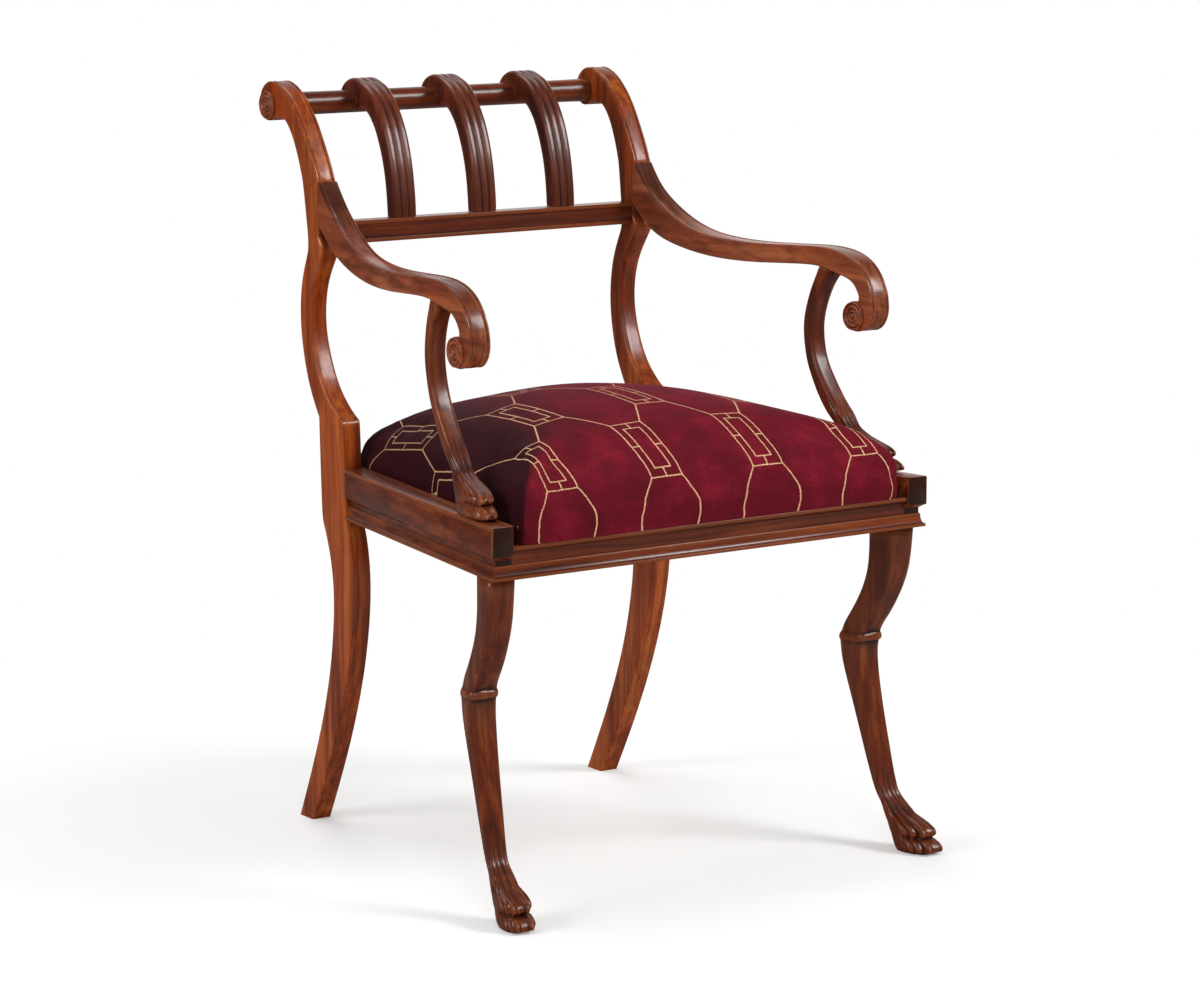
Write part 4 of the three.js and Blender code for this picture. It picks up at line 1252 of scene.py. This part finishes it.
@dataclass
class Webbing:
    """Ribbed jute straps that follow the line of their solids."""

    straps: tuple[str, ...] = (
        "left_long_strap", "centre_long_strap", "right_long_strap",
        "front_cross_strap", "middle_cross_strap", "rear_cross_strap",
    )
    width: float = 52.0
    thick: float = 1.15
    ribs: int = 14
    points_per_rib: int = 6
    stations: int = 72
    rib_share: float = 0.55
    stop_band: float = 0.2

    def curve(self, node: str) -> bpy.types.Curve:
        """The middle line of a strap, from end to end.

        Args:
            node: The strap's solid.

        Returns:
            The line, as one open spline.
        """
        places = np.unique(Bench.places(solid(node)).round(6), axis=0)
        run = 1 if "long" in node else 0
        stops = np.unique(places[:, run].round(4))
        line = [places[np.abs(places[:, run] - stop) < self.stop_band * MM].mean(0) for stop in stops]
        curve = bpy.data.curves.new(f"{node}_line", "CURVE")
        curve.dimensions = "3D"
        curve.twist_mode = "Z_UP"
        spline = curve.splines.new("POLY")
        spline.points.add(len(line) - 1)
        for point, place in zip(spline.points, line):
            point.co = (*place, 1.0)
        return curve

    def tree(self, material: bpy.types.Material) -> Grower:
        """Carries a ribbed section along the strap's line.

        Args:
            material: The straps' finish.

        Returns:
            The tree.
        """
        tree = Grower("ribbed_strap")
        width, thick, ribs = tree.size("Width"), tree.size("Thickness"), tree.size("Ribs")
        inputs = {"Curve": tree.start.outputs[0], "Count": self.stations}
        path = tree.node("GeometryNodeResampleCurve", inputs)
        count = self.points_per_rib * self.ribs
        loop = tree.node("GeometryNodeCurvePrimitiveCircle", {"Resolution": count, "Radius": 1.0})
        share = tree.fold("DIVIDE", tree.node("GeometryNodeInputIndex").outputs[0], float(count))
        there = tree.times(share, 2.0)
        along = tree.fold("MINIMUM", there, tree.minus(2.0, there))
        side = tree.minus(tree.times(tree.fold("LESS_THAN", share, 0.5), 2.0), 1.0)
        wave = tree.fold("ABSOLUTE", tree.fold("SINE", tree.times(along, ribs, math.pi)))
        body = tree.plus(tree.times(wave, self.rib_share), 1 - self.rib_share)
        rise = tree.times(body, side, thick, 0.5)
        across = tree.times(tree.minus(along, 0.5), width)
        spot = tree.node("CombineXYZ", {"X": across, "Y": rise}).outputs[0]
        ribbed = tree.node("GeometryNodeSetPosition", {"Geometry": loop.outputs[0], "Position": spot})
        inputs = {"Curve": path.outputs[0], "Profile Curve": ribbed.outputs[0], "Fill Caps": True}
        tree.close(tree.node("GeometryNodeCurveToMesh", inputs).outputs[0], material)
        return tree

    def dress(self) -> None:
        """Grows each strap and gives it its weave."""
        jute = WovenJute().material("jute_webbing")
        tree = self.tree(jute)
        sizes = {"Width": self.width * MM, "Thickness": self.thick * MM, "Ribs": float(self.ribs)}
        for node in self.straps:
            piece = tree.grow(f"{node}_woven", self.curve(node), sizes)
            Bench.smooth(piece, limit=50.0)
            Bench.dress(piece, jute, "seat", "webbing", node)


@dataclass
class StuffedSeat:
    """The upholstered seat, blown up as cloth over the form of its solid.

    The form starts smaller by the shrinkage and swells under air pressure by no more than the
    cap. Then it is cut off level just under the seat frame and hollowed out for it.
    """

    node: str = "seat_cushion"
    voxel: float = 7.0
    cap: float = 5.0
    frames: int = 20
    pressure: float = 4.0
    shrink: float = 1.6
    hem: float = 10.0
    hem_fade: float = 14.0
    hem_line: float = 24.0
    skirt: float = 3.0
    core_inset: float = 40.0
    core_rise: float = 6.0
    air: float = 0.3
    wrap: float = 12.0
    spare_hem: float = 14.0
    turned_under: float = 0.15
    lining_yarn: float = 1.2
    under_slope: float = -0.9
    cloth: LatticeVelvet = field(default_factory=LatticeVelvet)

    def form(self) -> bpy.types.Object:
        """Makes the solid's own outer form, drawn out below the hem and remeshed evenly.

        Returns:
            The form, open below.
        """
        piece = Bench.welded(self.node, "seat_velvet")
        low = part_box(self.node)[0].z
        work = bmesh.new()
        for vertex in piece.data.vertices:
            work.verts.new(vertex.co)
            if vertex.co.z < low + MM:
                work.verts.new((vertex.co.x, vertex.co.y, low - self.spare_hem * MM))
        hull = bmesh.ops.convex_hull(work, input=work.verts)
        bmesh.ops.delete(work, geom=hull["geom_interior"], context="VERTS")
        work.to_mesh(piece.data)
        work.free()
        even = piece.modifiers.new("even", "REMESH")
        even.mode = "VOXEL"
        even.voxel_size = self.voxel * MM
        even.use_smooth_shade = True
        calm = piece.modifiers.new("calm", "SMOOTH")
        calm.factor = 0.5
        calm.iterations = 2
        Bench.baked(piece)
        with edited(piece.data) as work:
            under = [face for face in work.faces if face.normal.z < self.under_slope]
            bmesh.ops.delete(work, geom=under, context="FACES")
        return piece

    def lay_cloth(self, piece: bpy.types.Object) -> None:
        """Writes where each point lies on the flat cloth, as the piece's own UV map.

        Args:
            piece: The seat's form.
        """
        source = Bench.welded(self.node, "cushion_guide")
        guide = source.data
        tree = BVHTree.FromPolygons(
            [vertex.co for vertex in guide.vertices], [face.vertices for face in guide.polygons])
        normals = [Vector(entry.vector) for entry in guide.vertex_normals]
        heights, spare = self.drop_table()
        flat = np.empty((len(piece.data.vertices), 2))
        for vertex in piece.data.vertices:
            spot, _, index, _ = tree.find_nearest(vertex.co)
            way = Vector((0.0, 0.0, 0.0))
            for corner in guide.polygons[index].vertices:
                way += normals[corner] / ((guide.vertices[corner].co - spot).length + MM)
            side = Vector((way.x, way.y))
            extra = float(np.interp(vertex.co.z, heights, spare))
            shift = side.normalized() * extra if side.length > TINY else Vector((0.0, 0.0))
            flat[vertex.index] = (vertex.co.x + shift.x, vertex.co.y + shift.y)
        bpy.data.objects.remove(source)
        layer = piece.data.uv_layers.new(name="cloth")
        for loop in piece.data.loops:
            layer.data[loop.index].uv = flat[loop.vertex_index]

    def drop_table(self) -> tuple[np.ndarray, np.ndarray]:
        """Follows the cloth from the crown down one side to the hem.

        Returns:
            Heights, and how much longer the cloth is than its shadow down to each.
        """
        low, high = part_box(self.node)
        plane = {"plane_co": (0, (low.y + high.y) / 2, 0), "plane_no": (0, 1, 0)}
        work = bmesh.new()
        work.from_mesh(solid(self.node))
        bmesh.ops.remove_doubles(work, verts=work.verts, dist=WELD)
        cut = bmesh.ops.bisect_plane(work, geom=[*work.verts, *work.edges, *work.faces], **plane)
        line = np.array([v.co for v in cut["geom_cut"] if isinstance(v, bmesh.types.BMVert)])
        work.free()
        hem = low.z + self.hem_line * MM
        reach = line[:, 0].max() - self.skirt * MM
        outer = line[(line[:, 0] >= 0) & ((line[:, 2] > hem) | (line[:, 0] > reach))]
        outer = outer[np.argsort(outer[:, 0] - outer[:, 2])]
        steps = np.hypot(np.diff(outer[:, 0]), np.diff(outer[:, 2]))
        spare = np.concatenate([[0], np.cumsum(steps)]) - (outer[:, 0] - outer[0, 0])
        order = np.argsort(outer[:, 2])
        heights, spare = outer[order, 2], spare[order]
        return heights, np.minimum(spare, np.interp(hem, heights, spare))

    def held(self, places: np.ndarray) -> np.ndarray:
        """How firmly points are tacked down: whole along the hem and in the hollow below.

        Args:
            places: The points.

        Returns:
            A number for each, from 0 for free to 1 for firm.
        """
        low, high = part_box(self.node)
        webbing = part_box("rear_cross_strap")[1].z
        hem = np.clip(1 - (places[:, 2] - low.z - self.hem * MM) / (self.hem_fade * MM), 0, 1)
        core = np.abs(places[:, 0]) < high.x - self.core_inset * MM
        return np.where(core & (places[:, 2] < webbing + self.core_rise * MM), 1.0, hem)

    def shrunk(self, piece: bpy.types.Object) -> None:
        """Draws the upper form in a little, so that it swells back to size.

        Args:
            piece: The seat's form.
        """
        mesh = piece.data
        for vertex, firm in zip(mesh.vertices, self.held(Bench.places(mesh))):
            vertex.co -= vertex.normal * self.shrink * MM * (1 - firm)
        mesh.update()

    def inflate(self, piece: bpy.types.Object) -> None:
        """Blows the form up as cloth, caps its travel and keeps the result.

        Args:
            piece: The seat's form.
        """
        start = Bench.places(piece.data)
        group = piece.vertex_groups.new(name="tacked")
        for index, weight in enumerate(self.held(start)):
            if weight > 0:
                group.add([index], float(weight), "REPLACE")
        cloth = piece.modifiers.new("cloth", "CLOTH")
        cloth.settings.use_pressure = True
        cloth.settings.uniform_pressure_force = self.pressure
        cloth.settings.vertex_group_mass = group.name
        cloth.settings.effector_weights.gravity = 0
        cloth.settings.quality = 4
        cloth.point_cache.frame_end = self.frames
        scene = bpy.context.scene
        for step in range(1, self.frames + 1):
            scene.frame_set(step)
        graph = bpy.context.evaluated_depsgraph_get()
        move = Bench.places(piece.evaluated_get(graph).data) - start
        travel = np.linalg.norm(move, axis=1)
        limit = self.cap * MM
        scale = np.where(travel > 0, limit * np.tanh(travel / limit) / np.maximum(travel, TINY), 0)
        piece.modifiers.clear()
        scene.frame_set(1)
        Bench.move(piece.data, start + move * scale[:, None])

    def trim(self, piece: bpy.types.Object) -> None:
        """Cuts the spare cloth off level, just below the seat frame.

        Args:
            piece: The seat.
        """
        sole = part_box(self.node)[0].z - self.turned_under * MM
        plane = {"plane_co": (0.0, 0.0, sole), "plane_no": (0, 0, -1)}
        with edited(piece.data) as work:
            parts = [*work.verts, *work.edges, *work.faces]
            cut = bmesh.ops.bisect_plane(work, geom=parts, clear_outer=True, **plane)
            rim = [edge for edge in cut["geom_cut"] if isinstance(edge, bmesh.types.BMEdge)]
            bmesh.ops.contextual_create(work, geom=rim)

    def hollow(self) -> bpy.types.Object:
        """Makes the block of air below the seat that its frame and webbing fill.

        Returns:
            The block, lined with hessian.
        """
        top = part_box("rear_cross_strap")[1].z + self.air * MM
        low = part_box(self.node)[0].z - 2 * self.spare_hem * MM
        places = Bench.places(solid("right_seat_side_member"))
        front, back = places[:, 1].min(), places[:, 1].max()
        wide, narrow = (
            places[np.abs(places[:, 1] - end) < MM][:, 0].max() - self.wrap * MM for end in (front, back))
        front, back = front + self.wrap * MM, back - self.wrap * MM
        outline = [(wide, front), (narrow, back), (-narrow, back), (-wide, front)]
        points = [(x, y, z) for z in (low, top) for x, y in outline]
        sides = [(0, 1, 5, 4), (1, 2, 6, 5), (2, 3, 7, 6), (3, 0, 4, 7), (3, 2, 1, 0), (4, 5, 6, 7)]
        mesh = bpy.data.meshes.new("seat_hollow")
        mesh.from_pydata(points, [], sides)
        mesh.materials.append(WovenJute(self.lining_yarn).material("hessian_lining"))
        return Bench.placed("seat_hollow", mesh)

    def hollow_out(self, piece: bpy.types.Object) -> None:
        """Takes the hollow out of the seat and lines it with hessian.

        Args:
            piece: The seat.
        """
        block = self.hollow()
        cut = piece.modifiers.new("hollow", "BOOLEAN")
        cut.operation = "DIFFERENCE"
        cut.solver = "EXACT"
        cut.material_mode = "TRANSFER"
        cut.object = block
        Bench.baked(piece)
        bpy.data.objects.remove(block)

    def dress(self) -> None:
        """Makes the seat and gives it its velvet."""
        piece = self.form()
        self.lay_cloth(piece)
        self.shrunk(piece)
        self.inflate(piece)
        finer = piece.modifiers.new("finer", "SUBSURF")
        finer.levels = finer.render_levels = 1
        Bench.baked(piece)
        piece.data.materials.append(self.cloth.material("lattice_velvet"))
        self.trim(piece)
        self.hollow_out(piece)
        Bench.smooth(piece, limit=50.0)
        Bench.settle(piece, "seat", "velvet", self.node)


@dataclass
class HiddenTimber:
    """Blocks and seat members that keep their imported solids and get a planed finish."""

    paired: tuple[str, ...] = ("front_corner_block", "rear_corner_block", "seat_bearer", "seat_side_member")
    crossing: tuple[str, ...] = ("seat_front_member", "seat_rear_member")

    def dress(self) -> None:
        """Gives each block its timber."""
        blocks = [f"{side.word}_{place}" for place in self.paired for side in Side]
        for cut, node in enumerate((*blocks, *self.crossing)):
            grain = Grain.ACROSS if node in self.crossing else Grain.DEEP
            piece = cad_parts[node]
            piece.data.materials.clear()
            piece.data.materials.append(PlanedBeech(grain, cut).material(f"beech_{node}"))
            LOG.info("%s: planed", node)


@dataclass
class PolishedFrame:
    """Every polished member, with its board, its grain and the way it is skinned."""

    arm_paw_floor: float = 439.3
    arm_paw_height: float = 46.7
    foot_paw_height: float = 52.0
    sawn_end: float = 0.88
    long_end: float = 0.1
    reed_wear: float = 5.0
    member_cuts: tuple[int, int] = (8, 3)
    limb_cuts: tuple[int, int] = (50, 40)
    middle_cut: int = 21
    heart: Four = (0.24, 0.21, 0.76, 0.15)
    leg_fullness: tuple[Pair, ...] = ((60.0, 1.0), (110.0, 1.06), (300.0, 1.06), (379.0, 1.12))

    def members(self) -> list[Member]:
        """Lists the plain and moulded members.

        Returns:
            The members.
        """
        rows: list[Member] = []
        for side, cut in zip(Side, self.member_cuts):
            arm = {"end_grain": self.long_end, "heart": self.heart}
            rail = {"levels": 0, "end_grain": self.sawn_end}
            rows += [
                Member(f"{side.word}_rear_upright", Board.AMBER, Grain.UPRIGHT, cut),
                Member(f"{side.word}_arm", Board.CHESTNUT, Grain.DEEP, cut + 1, **arm),
                Member(f"{side.word}_side_rail", Board.RUSSET, Grain.DEEP, cut + 2, **rail),
                Member(f"{side.word}_base_moulding", Board.RUSSET, Grain.DEEP, cut + 3, levels=0),
                # The splats take the darkest board, partly as painted shade on their reeded fronts.
                Member(f"{side.word}_splat", Board.UMBER, Grain.UPRIGHT, cut + 4, wear=self.reed_wear),
            ]
        cut = self.middle_cut
        # The centre splat takes the darkest board, partly as painted shade on its reeded front.
        rows.append(Member("centre_splat", Board.UMBER, Grain.UPRIGHT, cut, wear=self.reed_wear))
        rows.append(Member("crest_rail", Board.RUSSET, Grain.ACROSS, cut + 1, held=50.0, banded=False))
        across = ("back_rail", "front_rail", "front_base_moulding", "rear_rail")
        for step, node in enumerate(across, 2):
            rows.append(Member(node, Board.RUSSET, Grain.ACROSS, cut + step, levels=0))
        return rows

    def limbs(self) -> list[CarvedLimb]:
        """Lists the legs and arm supports that end in paws.

        Returns:
            The limbs.
        """
        rows = []
        shallow = {"valley": 2.8, "knuckle": 1.3, "crease": 2.1}
        for side, cut in zip(Side, self.limb_cuts):
            leg, support = f"{side.word}_front_leg", f"{side.word}_arm_support"
            rows.append(CarvedLimb(
                leg, Board.RUSSET, cut, 0.0, self.foot_paw_height, fuller=self.leg_fullness))
            rows.append(CarvedLimb(
                support, Board.RUSSET, cut + 1, self.arm_paw_floor, self.arm_paw_height, **shallow))
        return rows

    def dress(self) -> None:
        """Dresses every member and limb."""
        for piece in (*self.members(), *self.limbs()):
            piece.dress()


@dataclass(frozen=True)
class Lamp:
    """One square soft lamp: where it hangs and how wide it is, in metres, and its power in watts."""

    name: str
    place: Triple
    height_aimed_at: float
    size: float
    power: float
    mirrored: bool = True

    def hang(self) -> None:
        """Hangs the lamp, aimed at the chair's middle. Polished wood mirrors it or not."""
        data = bpy.data.lights.new(self.name, "AREA")
        data.shape = "SQUARE"
        data.size = self.size
        data.energy = self.power
        piece = Bench.placed(self.name, data)
        piece.location = self.place
        way = Vector((0.0, 0.0, self.height_aimed_at)) - Vector(self.place)
        piece.rotation_euler = way.to_track_quat("-Z", "Y").to_euler()
        piece.visible_glossy = self.mirrored


@dataclass
class Studio:
    """Plain pale floor, soft lamps and the camera at the photograph's angle."""

    camera_place: Triple = (-2.5369, -3.7028, 1.1874)
    camera_turn: float = -34.74
    camera_tilt: float = 9.94
    focal_pixels: float = 3915.9
    frame_pixels: float = 1200.0
    sensor: float = 36.0
    view_depth: float = 60.0
    surround: float = 0.3
    glow_way: Triple = (0.55, 0.8, 0.22)
    glow_range: Four = (0.72, 0.97, 0.05, 1.0)
    floor_half: float = 12.0
    floor_lift: float = 0.24
    floor_fade: Pair = (0.5, 1.25)
    floor_tones: Pair = (0.8, 0.82)
    floor_mirrored: float = 0.2
    lamps: tuple[Lamp, ...] = (
        Lamp("key", (1.9, -2.1, 2.5), 0.4, 1.2, 66.0),
        Lamp("front", (-1.7, -2.7, 2.5), 0.4, 1.5, 24.0),
        Lamp("fill", (-2.9, 0.3, 1.6), 0.5, 1.2, 33.0),
        Lamp("rear", (0.8, 2.9, 1.9), 0.5, 1.4, 14.0, mirrored=False),
        Lamp("top", (-0.2, 0.8, 3.0), 0.4, 1.6, 24.0),
    )

    def camera(self) -> None:
        """Sets the camera."""
        data = bpy.data.cameras.new("camera")
        data.sensor_width = self.sensor
        data.lens = self.focal_pixels / self.frame_pixels * self.sensor
        data.clip_end = self.view_depth
        piece = Bench.placed("camera", data)
        piece.location = self.camera_place
        piece.rotation_euler = (math.radians(90 - self.camera_tilt), 0.0, math.radians(self.camera_turn))
        bpy.context.scene.camera = piece

    def pale(self) -> bpy.types.Material:
        """A floor finish that keeps the chair's shadow and shows white to the camera farther out.

        Returns:
            The finish.
        """
        shade = Shade("pale_floor")
        speck = shade.noise(shade.place, 3.0, 2.0)
        stops = [(place, (*[tone] * 3, 1.0)) for place, tone in zip((0.3, 0.7), self.floor_tones)]
        path = shade.node("LightPath")
        mirrored = (*[self.floor_mirrored] * 3, 1.0)
        colour = shade.blend(path.outputs["Is Glossy Ray"], shade.ramp(speck, *stops), mirrored)
        shade.feed(shade.shader.inputs["Base Color"], colour)
        shade.fix({"Roughness": 0.9, "Specular IOR Level": 0.0, "Emission Color": WHITE})
        seen = shade.fold("MAXIMUM", path.outputs["Is Camera Ray"], path.outputs["Is Transmission Ray"])
        shade.feed(shade.shader.inputs["Emission Strength"], shade.times(seen, self.floor_lift))
        far = shade.spread(shade.measure("LENGTH", shade.place), *self.floor_fade, 0.0, 1.0)
        white = shade.node("Emission", {"Color": WHITE, "Strength": 1.0}).outputs[0]
        inputs = {0: shade.times(far, seen), 1: shade.shader.outputs[0], 2: white}
        output = next(node for node in shade.tree.nodes if node.type == "OUTPUT_MATERIAL")
        shade.feed(output.inputs["Surface"], shade.node("MixShader", inputs).outputs[0])
        return shade.material

    def floor(self) -> None:
        """Lays the floor."""
        half = self.floor_half
        corners = [(-half, -half, 0), (half, -half, 0), (half, half, 0), (-half, half, 0)]
        mesh = bpy.data.meshes.new("floor")
        mesh.from_pydata(corners, [], [(0, 1, 2, 3)])
        mesh.materials.append(self.pale())
        Bench.placed("floor", mesh)

    def world(self) -> None:
        """A white surround for the camera, a softer one for the light and a glow for polished wood."""
        world = bpy.data.worlds.new("surround")
        world.use_nodes = True
        air = Wiring(world.node_tree)
        path = air.node("LightPath")
        seen = air.fold("MAXIMUM", path.outputs["Is Camera Ray"], path.outputs["Is Transmission Ray"])
        way = air.measure("DOT_PRODUCT", air.node("TexCoord").outputs["Generated"], self.glow_way)
        glow = air.spread(way, *self.glow_range)
        mirrored = air.spread(path.outputs["Is Glossy Ray"], 0.0, 1.0, self.surround, glow)
        back = air.tree.nodes["Background"]
        air.feed(back.inputs["Color"], WHITE)
        air.feed(back.inputs["Strength"], air.spread(seen, 0.0, 1.0, mirrored, 1.0))
        bpy.context.scene.world = world

    def build(self) -> None:
        """Sets camera, floor, surround and lamps."""
        self.camera()
        self.floor()
        self.world()
        for lamp in self.lamps:
            lamp.hang()
        bpy.context.scene.view_settings.view_transform = "Standard"


def main() -> None:
    """Dresses the chair and sets the studio."""
    logging.basicConfig(level=logging.INFO, format="%(name)s %(message)s")
    Studio().build()
    PolishedFrame().dress()
    TurnedRosettes().dress()
    Webbing().dress()
    HiddenTimber().dress()
    StuffedSeat().dress()


if __name__ == "__main__":
    main()
